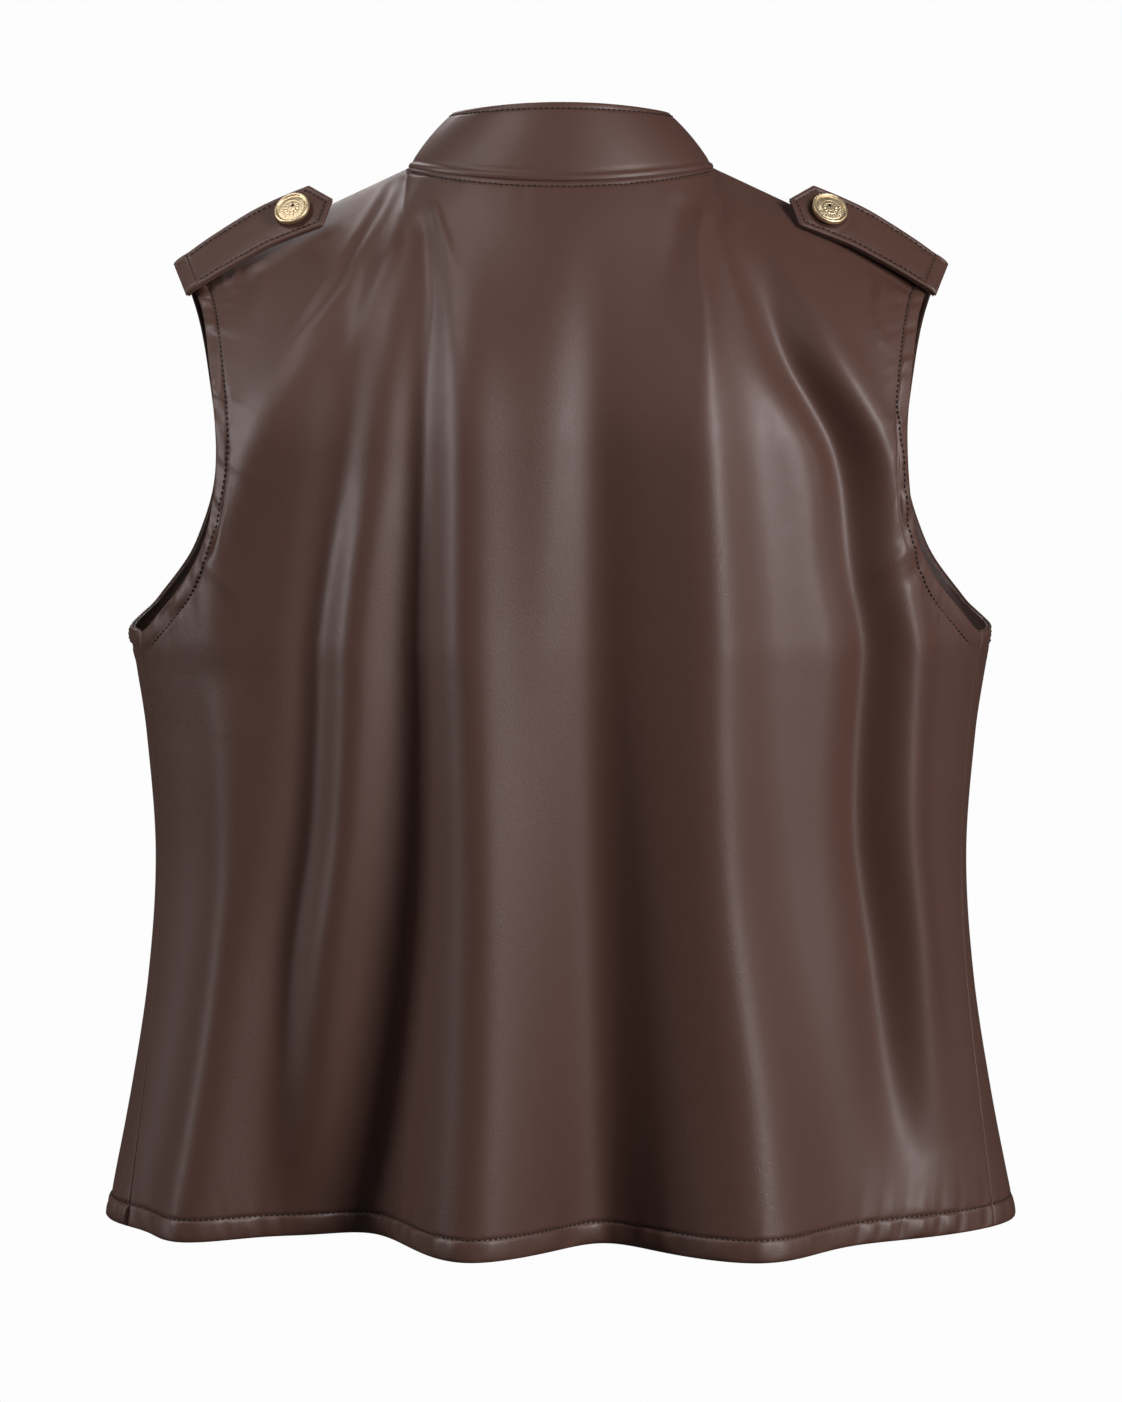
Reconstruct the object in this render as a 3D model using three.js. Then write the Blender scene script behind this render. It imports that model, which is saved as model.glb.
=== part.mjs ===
// A sleeveless leather vest with a stand collar, shoulder straps and a buttoned front,
// held hollow as when it is worn. Millimetres, +Z up, the front faces -Y, +X is the wearer's left.
// The origin is the middle of the neck hole, at the height of the side neck points.
import * as THREE from 'three';

// Driving sizes
const WALL = 1.6;               // leather with its backing
const HEM_WALL = 2.8;           // the hem is turned up inside
const HEM_DEPTH = 12;
const SEAM_GAP = 0.3;
const HEM_Z = -567;
const ARMPIT_Z = -246;
const NECK_HALF_WIDTH = 81.7;
const NAPE = { y: 62, z: -8.2 };
const THROAT = { y: -80, z: -62 };
const NECK_EASE = 20;            // rounds the turn from neckline to shoulder below the edge
const NECK_BLEND = 50;           // depth over which that rounding comes in
const SHOULDER_SLOPE = 0.465;
const SHOULDER_ROUNDNESS = 1.15; // 1 is a sharp ridge, more is rounder
const SHOULDER_TIP_X = 202;
const SHOULDER_TIP_Z = -SHOULDER_SLOPE * (SHOULDER_TIP_X - NECK_HALF_WIDTH);
const CHEST_HALF_WIDTH = 232;
const ARCH_Z = -150;            // where the panels start to bend over to the shoulders
const OVERLAP = 14;             // each front runs this far past the centre
const UNDERLAP_INSET = HEM_WALL + 0.5;   // how far the lower front steps in below the upper one
const LAP_EASE = 3;             // the step is full this far past the upper front's edge
const FACING_WALL = 1.0;
const COLLAR_WALL = 3;
const COLLAR_TOP = { halfWidth: 57, back: 46, front: -64 };
const COLLAR_TOP_Z = { back: 33.7, side: 29.7, front: -23 };
const COLLAR_SEAT = 0.6;         // the collar's foot above the neckline
const COLLAR_BULGE = 1.2;
const COLLAR_END_TURN = 0.7;     // degrees from the front centre to the collar's end
const COLLAR_RISES = [0, 0.25, 0.5, 0.75, 0.95, 1];   // rows of its grid, as shares of its height
const COLLAR_BRIM_INSET = 1.05;  // both faces draw in by this at the top edge
const STRAP_WALL = 3.2;
const STRAP_WIDTH = 30;
const STRAP_BUTTON_SHIFT = { x: -4, z: 1.6 };   // from the strap's third station
const BUTTON_RADIUS = 9.8;
const BUTTON_HEIGHT = 4.4;
const BUTTON_HOLE = 1.2;
const BUTTON_BACK_ROUND = 0.9;   // its back edge is rounded off by this
const BUTTON_RIM_SIDE = 1.2;     // the rim's outer slope starts this far below the top
const BUTTON_RIM = { width: 2.2, drop: 0.5, top: 0.3 };
const BUTTON_SIDES = 24;
const BUTTON_SEAT = 0.5;         // between a button's back and the leather
const FRONT_BUTTONS = { count: 6, top: -88, pitch: 81 };

// Grid steps
const SEAM_ROWS = 17;
const ARMHOLE_ROWS = 15;
const SHOULDER_COLUMNS = 10;
const NECK_STEPS = [0, 11, 23, 35, 48, 62, 76, 90];   // degrees round a quarter of the neck
const FACING_COLUMNS = 2;
const PATH_STEPS = 240;         // steps along an armhole's edge while its stations are spread
const EDGE_ROWS_MIDDLE_Z = -300;   // height at the centre of the row that ends at the armpit
const NORMAL_STEP = 0.4;        // degrees, and millimetres of height, over which a normal is read
const NORMAL_DROP = 2;          // below the place, so that it is never read above the edge
const SEAM_UPRIGHT = 25;        // the normals turn upright over this much below the shoulder seam

// The trunk's level sections: half width, and depth behind and before the side line
const SECTIONS = [
  { z: -567, half: 248, back: 100, front: 132 },
  { z: -499, half: 234.2, back: 101.5, front: 126 },
  { z: -433, half: 223.8, back: 103.5, front: 123 },
  { z: -367, half: 219.4, back: 106, front: 124 },
  { z: -302, half: 223.7, back: 109, front: 128 },
  { z: -269, half: 228.3, back: 110.5, front: 131 },
  { z: -246, half: 232, back: 111.3, front: 132.5 },
  { z: -160, half: 232, back: 112, front: 132 },
  { z: 0, half: 232, back: 108, front: 112 },
];

// Side seam, in degrees from the back centre
const SEAM = [
  { z: -567, deg: 70.4 },
  { z: -499, deg: 74.5 },
  { z: -433, deg: 77.5 },
  { z: -367, deg: 78.5 },
  { z: -302, deg: 76.5 },
  { z: -246, deg: 74.5 },
];

// The armhole's edge on the back and on the front, from the side seam up to the shoulder
const BACK_ARMHOLE = [
  { z: -246, deg: 74.5 },
  { z: -242, deg: 70.8 },
  { z: -225, deg: 61.8 },
  { z: -210, deg: 56.5 },
  { z: -193, deg: 52.9 },
  { z: -174, deg: 51.3 },
  { z: -149, deg: 50.8 },
  { z: -114, deg: 52.1 },
  { z: -80, deg: 54.4 },
  { z: -67, deg: 56.6 },
  { z: SHOULDER_TIP_Z, deg: 60.54 },
];
const FRONT_ARMHOLE = [
  { z: -246, deg: 74.5 },
  { z: -244.4, deg: 90 },
  { z: -238, deg: 103 },
  { z: -229, deg: 109.8 },
  { z: -213, deg: 117 },
  { z: -197, deg: 120.7 },
  { z: -174, deg: 123.7 },
  { z: -148, deg: 124.4 },
  { z: -114, deg: 123.4 },
  { z: -81, deg: 121.9 },
  { z: SHOULDER_TIP_Z, deg: 119.46 },
];

// Folds: each runs down through its stations. deg counts from the back centre, + to the wearer's left,
// lift is how far it stands out (- is a hollow), spread is its half width in degrees.
const FOLDS = [
  [ // left flute of the back
    { z: -60, deg: 12.5, lift: 3, spread: 4.5 },
    { z: -105, deg: 12.3, lift: 6, spread: 5 },
    { z: -150, deg: 12.2, lift: 8, spread: 5.3 },
    { z: -258, deg: 12, lift: 11, spread: 5.6 },
    { z: -370, deg: 11.5, lift: 15, spread: 6.4 },
    { z: -470, deg: 11.3, lift: 20, spread: 7.5 },
    { z: -567, deg: 11.6, lift: 28, spread: 8.3 },
  ],
  [ // hollow outside it
    { z: -40, deg: 18, lift: -5, spread: 3 },
    { z: -100, deg: 18.4, lift: -10, spread: 3.8 },
    { z: -150, deg: 18.8, lift: -13, spread: 4.4 },
    { z: -258, deg: 20.2, lift: -16, spread: 5.2 },
    { z: -370, deg: 22.4, lift: -20, spread: 6.4 },
    { z: -470, deg: 25, lift: -28, spread: 8 },
    { z: -567, deg: 27, lift: -40, spread: 9.5 },
  ],
  [ // small flute in that hollow
    { z: -150, deg: 22, lift: 0, spread: 4 },
    { z: -208, deg: 27, lift: 2, spread: 4 },
    { z: -337, deg: 31, lift: 4, spread: 4.5 },
    { z: -414, deg: 33, lift: 4, spread: 4.5 },
    { z: -491, deg: 33, lift: 3, spread: 5 },
    { z: -567, deg: 33, lift: 0, spread: 5 },
  ],
  [ // outer hollow, from the neck to the left hem
    { z: -40, deg: 25, lift: -3, spread: 4 },
    { z: -105, deg: 28, lift: -7, spread: 4.6 },
    { z: -208, deg: 33, lift: -11, spread: 4.8 },
    { z: -337, deg: 38, lift: -12, spread: 5.3 },
    { z: -414, deg: 42, lift: -12, spread: 5.8 },
    { z: -491, deg: 42, lift: -12, spread: 6.4 },
    { z: -567, deg: 40, lift: -13, spread: 7 },
  ],
  [ // drag from the left neck point to the armhole
    { z: -40, deg: 30, lift: 1.5, spread: 4 },
    { z: -105, deg: 37, lift: 4, spread: 5 },
    { z: -156, deg: 44, lift: 4.5, spread: 5 },
    { z: -208, deg: 50, lift: 4, spread: 5 },
    { z: -290, deg: 52, lift: 2, spread: 6 },
  ],
  [ // left outer flute
    { z: -300, deg: 50, lift: 3, spread: 6 },
    { z: -430, deg: 52, lift: 7, spread: 7 },
    { z: -567, deg: 53, lift: 13, spread: 8 },
  ],
  [ // hollow at the centre of the back
    { z: -50, deg: -4, lift: -3, spread: 4 },
    { z: -105, deg: -4.5, lift: -6, spread: 4.6 },
    { z: -160, deg: -4.5, lift: -9, spread: 5 },
    { z: -270, deg: -4.5, lift: -12, spread: 5.8 },
    { z: -380, deg: -5, lift: -15, spread: 6.3 },
    { z: -480, deg: -5.2, lift: -19, spread: 6.5 },
    { z: -567, deg: -5.5, lift: -25, spread: 6.5 },
  ],
  [ // right flute of the back
    { z: -40, deg: -16, lift: 4, spread: 4 },
    { z: -100, deg: -17.8, lift: 9, spread: 4.6 },
    { z: -160, deg: -18.7, lift: 12, spread: 5.2 },
    { z: -270, deg: -20, lift: 13, spread: 6.5 },
    { z: -380, deg: -22, lift: 17, spread: 7.5 },
    { z: -480, deg: -24, lift: 24, spread: 9 },
    { z: -567, deg: -23.8, lift: 33, spread: 10 },
  ],
  [ // hollow from the right neck point past the armhole
    { z: -30, deg: -22.5, lift: -4, spread: 3 },
    { z: -58, deg: -26.3, lift: -10, spread: 3.4 },
    { z: -100, deg: -31, lift: -14, spread: 3.7 },
    { z: -150, deg: -39.3, lift: -13, spread: 4 },
    { z: -208, deg: -41.5, lift: -10, spread: 4.2 },
    { z: -255, deg: -44.8, lift: -11, spread: 4.3 },
    { z: -337, deg: -46.4, lift: -12, spread: 4.8 },
    { z: -414, deg: -49.5, lift: -11, spread: 5.4 },
    { z: -491, deg: -50, lift: -8, spread: 6 },
    { z: -550, deg: -50, lift: 0, spread: 6 },
  ],
  [ // ridge beside it
    { z: -60, deg: -33.5, lift: 4, spread: 4 },
    { z: -100, deg: -38.5, lift: 6, spread: 4.2 },
    { z: -150, deg: -46.5, lift: 6, spread: 4.3 },
    { z: -208, deg: -49.5, lift: 5, spread: 4.4 },
    { z: -255, deg: -53, lift: 7, spread: 4.5 },
    { z: -337, deg: -55.5, lift: 8, spread: 5 },
    { z: -414, deg: -58.5, lift: 7, spread: 5 },
    { z: -520, deg: -59, lift: 0, spread: 6 },
  ],
  [ // front flute on the wearer's left
    { z: -180, deg: 152, lift: 0, spread: 7 },
    { z: -300, deg: 153, lift: 5, spread: 7 },
    { z: -430, deg: 154, lift: 12, spread: 8 },
    { z: -567, deg: 154, lift: 24, spread: 9 },
  ],
  [ // hollow outside it
    { z: -230, deg: 132, lift: 0, spread: 7 },
    { z: -350, deg: 131, lift: -7, spread: 8 },
    { z: -567, deg: 130, lift: -24, spread: 10 },
  ],
  [ // front flute on the wearer's right
    { z: -200, deg: -149, lift: 0, spread: 7 },
    { z: -320, deg: -150, lift: 6, spread: 7 },
    { z: -440, deg: -151, lift: 13, spread: 9 },
    { z: -567, deg: -152, lift: 27, spread: 10 },
  ],
  [ // hollow outside it
    { z: -210, deg: -129, lift: 0, spread: 7 },
    { z: -350, deg: -128, lift: -8, spread: 8 },
    { z: -567, deg: -126, lift: -26, spread: 10 },
  ],
];

const leather = { color: 0x4a3630, roughness: 0.45, metalness: 0 };
const lining = { color: 0x2a1d19, roughness: 0.5, metalness: 0 };
const brass = { color: 0xd9b878, roughness: 0.3, metalness: 1 };

const radians = THREE.MathUtils.degToRad;
const lerp = THREE.MathUtils.lerp;
const clamp = THREE.MathUtils.clamp;

function smooth(t) {
  const k = clamp(t, 0, 1);
  return k * k * (3 - 2 * k);
}

// A smooth curve through a table's rows, read at any height
function readAt(rows, z, column) {
  const last = rows.length - 1;
  const at = clamp(z, Math.min(rows[0].z, rows[last].z), Math.max(rows[0].z, rows[last].z));
  const rising = rows[last].z > rows[0].z;
  let i = 0;
  while (i < last - 1 && (rising ? at > rows[i + 1].z : at < rows[i + 1].z)) i += 1;
  const slope = (k) => {
    const a = rows[Math.max(k - 1, 0)];
    const b = rows[Math.min(k + 1, last)];
    return (b[column] - a[column]) / (b.z - a.z);
  };
  const step = rows[i + 1].z - rows[i].z;
  const t = (at - rows[i].z) / step;
  const m0 = slope(i) * step;
  const m1 = slope(i + 1) * step;
  const t2 = t * t;
  const t3 = t2 * t;
  return (2 * t3 - 3 * t2 + 1) * rows[i][column] + (t3 - 2 * t2 + t) * m0
    + (3 * t2 - 2 * t3) * rows[i + 1][column] + (t3 - t2) * m1;
}

// How far the folds stand out at an angle and a height
function foldLift(deg, z) {
  let lift = 0;
  for (const fold of FOLDS) {
    const tops = fold.map((row) => row.z);
    const fadeTop = smooth((Math.max(...tops) + 40 - z) / 40);
    const centre = readAt(fold, z, 'deg');
    const spread = readAt(fold, z, 'spread');
    const off = (deg - centre) / spread;
    lift += fadeTop * readAt(fold, z, 'lift') * Math.exp(-off * off);
  }
  return lift;
}

// The panels' upper edge above a given x: the neckline, then the shoulder seam
function rim(x, back) {
  const side = back ? 1 : -1;
  const across = Math.abs(x) / NECK_HALF_WIDTH;
  if (across >= 1) {
    return { y: side * SEAM_GAP / 2, z: -SHOULDER_SLOPE * (Math.abs(x) - NECK_HALF_WIDTH) };
  }
  const middle = back ? NAPE : THROAT;
  const k = Math.sqrt(1 - across * across);
  return { y: middle.y * k + side * SEAM_GAP / 2, z: middle.z * (back ? k * k : k ** 1.5) };
}

// The same edge rounded off, which the cloth follows further down
function softRim(x, back) {
  const middle = back ? NAPE : THROAT;
  const past = Math.abs(x) - NECK_HALF_WIDTH;
  const sloped = (past + Math.hypot(past, NECK_EASE)) / 2;
  return {
    y: middle.y * Math.exp(-((x / (NECK_HALF_WIDTH + 8)) ** 2)),
    z: middle.z * Math.exp(-((x / (NECK_HALF_WIDTH - 12)) ** 2)) - SHOULDER_SLOPE * sloped,
  };
}

// The outer surface: deg from the back centre, + to the wearer's left, and a height
function surface(deg, z) {
  const angle = radians(deg);
  const back = Math.abs(deg) <= 90;
  const half = readAt(SECTIONS, z, 'half');
  const depth = readAt(SECTIONS, z, back ? 'back' : 'front');
  const sin = Math.sin(angle);
  const cos = Math.cos(angle);
  const lift = foldLift(deg, z);
  const outward = Math.hypot(depth * sin, half * cos);
  const x = half * sin;
  const edge = rim(x, back);
  const soft = softRim(x, back);
  const below = smooth((edge.z - z) / NECK_BLEND);
  const top = { y: lerp(edge.y, soft.y, below), z: lerp(edge.z, soft.z, below) };
  const t = clamp((top.z - z) / (top.z - ARCH_Z), 0, 1);
  const roundness = lerp(1, SHOULDER_ROUNDNESS, smooth((Math.abs(x) - 50) / 50));
  const over = (1 - (1 - t) ** 2) ** (1 / roundness);
  const y = depth * cos + lift * half * cos / outward;
  return new THREE.Vector3(x + over * lift * depth * sin / outward, lerp(top.y, y, over), z);
}

// The outward normal. Along the shoulder seam it has no front-to-back lean, so both panels meet there
function normalAt(deg, z) {
  const low = z - NORMAL_DROP;
  const across = surface(deg + NORMAL_STEP, low).sub(surface(deg - NORMAL_STEP, low));
  const up = surface(deg, low).sub(surface(deg, low - NORMAL_STEP));
  const n = up.cross(across).normalize();
  const { x } = surface(deg, z);
  if (Math.abs(x) > NECK_HALF_WIDTH - 1) {
    n.y *= smooth((rim(x, Math.abs(deg) <= 90).z - z) / SEAM_UPRIGHT);
  }
  return n.normalize();
}

// Points spread evenly along an armhole's edge, from the side seam to the shoulder
function armholeStations(rows, count) {
  const path = [];
  for (let i = 0; i <= PATH_STEPS; i += 1) {
    const k = (i / PATH_STEPS) * (rows.length - 1);
    const j = Math.min(Math.floor(k), rows.length - 2);
    const z = lerp(rows[j].z, rows[j + 1].z, k - j);
    path.push({ z, deg: readAt(rows, z, 'deg') });
  }
  const length = [0];
  for (let i = 1; i <= PATH_STEPS; i += 1) {
    const step = surface(path[i].deg, path[i].z).distanceTo(surface(path[i - 1].deg, path[i - 1].z));
    length.push(length[i - 1] + step);
  }
  const stations = [];
  for (let i = 0; i <= count; i += 1) {
    const want = length[PATH_STEPS] * i / count;
    const j = clamp(length.findIndex((value) => value >= want), 1, PATH_STEPS);
    const k = (want - length[j - 1]) / (length[j] - length[j - 1]);
    stations.push({ z: lerp(path[j - 1].z, path[j].z, k), deg: lerp(path[j - 1].deg, path[j].deg, k) });
  }
  return stations;
}

// Columns across half a panel, as x on its upper edge: neckline first, then the shoulder
function columnTops() {
  const tops = NECK_STEPS.map((step) => NECK_HALF_WIDTH * Math.sin(radians(step)));
  for (let i = 1; i <= SHOULDER_COLUMNS; i += 1) {
    tops.push(lerp(NECK_HALF_WIDTH, SHOULDER_TIP_X, i / SHOULDER_COLUMNS));
  }
  return tops;
}

// The grid of one half panel, as places on the surface: rows from the hem up, columns from the centre out.
// start is how far past the centre it begins, in millimetres.
function halfPanelPlaces(back, start) {
  const armhole = armholeStations(back ? BACK_ARMHOLE : FRONT_ARMHOLE, ARMHOLE_ROWS);
  const seam = [];
  for (let i = 0; i < SEAM_ROWS; i += 1) {
    const z = i === 0 ? HEM_Z : lerp(HEM_Z + HEM_DEPTH, ARMPIT_Z, (i - 1) / (SEAM_ROWS - 1));
    seam.push({ z, deg: readAt(SEAM, z, 'deg') });
  }
  const edge = [...seam, ...armhole];
  const middle = EDGE_ROWS_MIDDLE_Z - HEM_Z;
  const tops = columnTops();
  const fromCentre = (deg) => (back ? deg : 180 - deg);
  const tipDeg = fromCentre(edge[edge.length - 1].deg);
  const tipZ = edge[edge.length - 1].z;
  const rows = edge.map((station, j) => {
    let centre;
    if (j === 0) centre = 0;
    else if (j <= SEAM_ROWS) centre = lerp(HEM_DEPTH, middle, (j - 1) / (SEAM_ROWS - 1));
    else centre = lerp(middle, rim(0, back).z - HEM_Z, (j - SEAM_ROWS) / ARMHOLE_ROWS);
    const centreShare = centre / (rim(0, back).z - HEM_Z);
    const edgeShare = (station.z - HEM_Z) / (tipZ - HEM_Z);
    const places = tops.map((top) => {
      const topDeg = THREE.MathUtils.radToDeg(Math.asin(top / CHEST_HALF_WIDTH));
      const out = topDeg / tipDeg;
      const share = lerp(centreShare, edgeShare, out ** 5);
      const z = lerp(HEM_Z, rim(top, back).z, share);
      return { deg: fromCentre(station.deg) * out, z };
    });
    if (start > 0) {
      const half = readAt(SECTIONS, places[0].z, 'half');
      const degAt = (x) => THREE.MathUtils.radToDeg(Math.asin(x / half));
      places[1].deg = degAt(start + LAP_EASE);
      places.unshift({ deg: -degAt(start), z: places[0].z });
    }
    return places;
  });
  return rows.map((places) => places.map((place) => ({
    deg: back ? place.deg : 180 - place.deg,
    z: place.z,
  })));
}

// A closed wall between two grids of points
function wallBetween(outer, inner) {
  const rows = outer.length;
  const columns = outer[0].length;
  const position = [];
  const index = [];
  for (const grid of [outer, inner]) {
    for (const row of grid) for (const p of row) position.push(p.x, p.y, p.z);
  }
  const at = (layer, j, i) => layer * rows * columns + j * columns + i;
  const quad = (a, b, c, d) => index.push(a, b, c, a, c, d);
  for (let j = 0; j < rows - 1; j += 1) {
    for (let i = 0; i < columns - 1; i += 1) {
      quad(at(0, j, i), at(0, j, i + 1), at(0, j + 1, i + 1), at(0, j + 1, i));
      quad(at(1, j, i), at(1, j + 1, i), at(1, j + 1, i + 1), at(1, j, i + 1));
    }
  }
  for (let i = 0; i < columns - 1; i += 1) {
    quad(at(0, 0, i), at(1, 0, i), at(1, 0, i + 1), at(0, 0, i + 1));
    quad(at(0, rows - 1, i), at(0, rows - 1, i + 1), at(1, rows - 1, i + 1), at(1, rows - 1, i));
  }
  for (let j = 0; j < rows - 1; j += 1) {
    quad(at(0, j, 0), at(0, j + 1, 0), at(1, j + 1, 0), at(1, j, 0));
    quad(at(0, j, columns - 1), at(1, j, columns - 1), at(1, j + 1, columns - 1), at(0, j + 1, columns - 1));
  }
  const geometry = new THREE.BufferGeometry();
  geometry.setAttribute('position', new THREE.Float32BufferAttribute(position, 3));
  geometry.setIndex(index);
  if (volume(geometry) < 0) {
    for (let i = 0; i < index.length; i += 3) [index[i + 1], index[i + 2]] = [index[i + 2], index[i + 1]];
    geometry.setIndex(index);
  }
  return geometry;
}

function volume(geometry) {
  const p = geometry.getAttribute('position');
  const index = geometry.getIndex().array;
  const [a, b, c] = [new THREE.Vector3(), new THREE.Vector3(), new THREE.Vector3()];
  let sum = 0;
  for (let i = 0; i < index.length; i += 3) {
    a.fromBufferAttribute(p, index[i]);
    b.fromBufferAttribute(p, index[i + 1]);
    c.fromBufferAttribute(p, index[i + 2]);
    sum += a.dot(b.cross(c)) / 6;
  }
  return sum;
}

const group = new THREE.Group();

function add(name, geometry, finish) {
  geometry.computeVertexNormals();
  const mesh = new THREE.Mesh(geometry, new THREE.MeshStandardMaterial(finish));
  mesh.name = name;
  group.add(mesh);
  return mesh;
}

// A point at a depth below the outer surface
function inside(place, depth) {
  return surface(place.deg, place.z).addScaledVector(normalAt(place.deg, place.z), -depth);
}

function wallDepth(z) {
  return z < HEM_Z + HEM_DEPTH + HEM_WALL ? HEM_WALL : WALL;
}

// The seam edge of a panel is set back by half the gap
function sideSetback(rows, towards) {
  for (const row of rows) {
    const edge = row[row.length - 1];
    const half = readAt(SECTIONS, edge.z, 'half');
    if (edge.z < ARMPIT_Z + 0.01) edge.deg += towards * THREE.MathUtils.radToDeg(SEAM_GAP / 2 / (half * 0.5));
  }
}

function mirrored(rows) {
  return rows.map((row) => row.map((place) => ({ deg: -place.deg, z: place.z })));
}

function backPanel() {
  const left = halfPanelPlaces(true, 0);
  sideSetback(left, -1);
  const right = mirrored(left);
  const places = left.map((row, j) => [...right[j].slice(1).reverse(), ...row]);
  const outer = places.map((row) => row.map((place) => surface(place.deg, place.z)));
  const inner = places.map((row) => row.map((place) => inside(place, wallDepth(place.z))));
  add('back_panel', wallBetween(outer, inner), leather);
  return { left, right: right.map((row) => [...row].reverse()) };
}

// side is 1 for the wearer's left front, which lies below at the centre, and -1 for the right one
function frontPanel(name, side) {
  const rows = halfPanelPlaces(false, OVERLAP);
  sideSetback(rows, 1);
  const places = side > 0 ? rows : mirrored(rows);
  const step = (place) => {
    const fromCentre = surface(place.deg, place.z).x * side;
    return side > 0 ? UNDERLAP_INSET * (1 - smooth((fromCentre - OVERLAP - LAP_EASE - 1) / 8)) : 0;
  };
  const outer = places.map((row) => row.map((place) => inside(place, step(place))));
  const inner = places.map((row) => row.map((place) => inside(place, step(place) + wallDepth(place.z))));
  add(name, wallBetween(outer, inner), leather);
  return places;
}

// A strip inside the armhole, made from the panel's own points
function armholeFacing(name, places, edgeFirst) {
  const width = FACING_COLUMNS + 1;
  const strip = places.slice(SEAM_ROWS).map((row) => (edgeFirst ? row.slice(0, width) : row.slice(-width)));
  const top = WALL + SEAM_GAP;
  const outer = strip.map((row) => row.map((place) => inside(place, top)));
  const inner = strip.map((row) => row.map((place) => inside(place, top + FACING_WALL)));
  add(name, wallBetween(outer, inner), lining);
}

// The collar stands on the neckline and leans in. turn is in degrees from the nape, + to the wearer's left
function collarPoint(turn, up, depth) {
  const angle = radians(turn);
  const behind = Math.abs(turn) <= 90;
  const foot = rim(NECK_HALF_WIDTH * Math.sin(angle), behind);
  const base = new THREE.Vector3(NECK_HALF_WIDTH * Math.sin(angle), foot.y, foot.z);
  const cos = Math.cos(angle);
  const end = behind ? COLLAR_TOP_Z.back : COLLAR_TOP_Z.front;
  const brim = new THREE.Vector3(
    COLLAR_TOP.halfWidth * Math.sin(angle),
    (behind ? COLLAR_TOP.back : -COLLAR_TOP.front) * cos,
    COLLAR_TOP_Z.side + (end - COLLAR_TOP_Z.side) * cos * cos,
  );
  const rise = brim.clone().sub(base);
  const height = rise.length();
  const outward = new THREE.Vector3(base.x, base.y, 0).normalize();
  const lean = outward.clone().addScaledVector(rise, -outward.dot(rise) / (height * height)).normalize();
  const bulge = COLLAR_BULGE * Math.sin(Math.PI * up);
  const lift = lerp(COLLAR_SEAT, height, up);
  return base.addScaledVector(rise, lift / height).addScaledVector(lean, bulge - depth);
}

function collar() {
  const quarter = NECK_STEPS.slice(1);
  const half = [0, ...quarter, ...quarter.slice(0, -1).reverse().map((step) => 180 - step)];
  half.push(180 - COLLAR_END_TURN);
  const turns = [...half.slice(1).reverse().map((turn) => -turn), ...half];
  const depthAt = (up) => (up === 1 ? COLLAR_BRIM_INSET : 0);
  const face = (depth) => COLLAR_RISES.map((up) => turns.map((turn) => collarPoint(turn, up, depth(up))));
  const outer = face(depthAt);
  const inner = face((up) => COLLAR_WALL - depthAt(up));
  add('collar', wallBetween(outer, inner), leather);
}

// The strap's outer face along its middle: from the point, over the shoulder to the armhole's edge.
// half is its half width there, and lean how far its slope has turned from the inner to the outer one.
const STRAP_LINE = [
  { x: 121.5, y: 13.8, z: -16.2, half: 0.8, lean: 0 },
  { x: 130.6, y: 13.7, z: -19.6, half: STRAP_WIDTH / 2, lean: 0 },
  { x: 145.8, y: 12.5, z: -25.5, half: STRAP_WIDTH / 2, lean: 0.1 },
  { x: 159.2, y: 12, z: -31.3, half: STRAP_WIDTH / 2, lean: 0.3 },
  { x: 172.7, y: 12.3, z: -38.8, half: STRAP_WIDTH / 2, lean: 0.5 },
  { x: 186, y: 13, z: -46.8, half: STRAP_WIDTH / 2, lean: 0.75 },
  { x: 196, y: 13.3, z: -53.4, half: STRAP_WIDTH / 2, lean: 0.95 },
  { x: 201, y: 13.3, z: -56.8, half: STRAP_WIDTH / 2, lean: 1 },
  { x: 203.2, y: 12.5, z: -59.4, half: STRAP_WIDTH / 2, lean: 1 },
];
const STRAP_INNER = new THREE.Vector3(-0.27, 0.65, -0.71).normalize();   // down the back of the shoulder
const STRAP_OUTER = new THREE.Vector3(-0.28, 0.79, -0.54).normalize();

// The strap's place, the direction across it and its outward normal at a station
function strapFrame(k) {
  const at = (i) => {
    const row = STRAP_LINE[clamp(i, 0, STRAP_LINE.length - 1)];
    return new THREE.Vector3(row.x, row.y, row.z);
  };
  const across = STRAP_INNER.clone().lerp(STRAP_OUTER, STRAP_LINE[k].lean).normalize();
  const along = at(k + 1).sub(at(k - 1));
  return { place: at(k), across, outward: along.cross(across).normalize() };
}

function shoulderStrap(name, side) {
  const face = (depth) => STRAP_LINE.map((row, k) => {
    const { place, across, outward } = strapFrame(k);
    return [-1, 0, 1].map((share) => {
      const p = place.clone().addScaledVector(across, share * row.half).addScaledVector(outward, -depth);
      p.x *= side;
      return p;
    });
  });
  add(name, wallBetween(face(0), face(STRAP_WALL)), leather);
}

// A gold-coloured button with a rolled rim and a small hole, its back on the XY plane
function buttonGeometry() {
  const radius = BUTTON_RADIUS;
  const height = BUTTON_HEIGHT;
  const profile = [
    { r: BUTTON_HOLE, z: 0 },
    { r: radius - BUTTON_BACK_ROUND, z: 0 },
    { r: radius, z: BUTTON_BACK_ROUND },
    { r: radius, z: height - BUTTON_RIM_SIDE },
    { r: radius - BUTTON_RIM_SIDE + BUTTON_RIM.top, z: height - BUTTON_RIM.top },
    { r: radius - BUTTON_RIM.width, z: height - BUTTON_RIM.drop },
    { r: BUTTON_HOLE, z: height },
    { r: BUTTON_HOLE, z: 0 },
  ].map(({ r, z }) => new THREE.Vector2(r, z));
  return new THREE.LatheGeometry(profile, BUTTON_SIDES).rotateX(Math.PI / 2);
}

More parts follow.
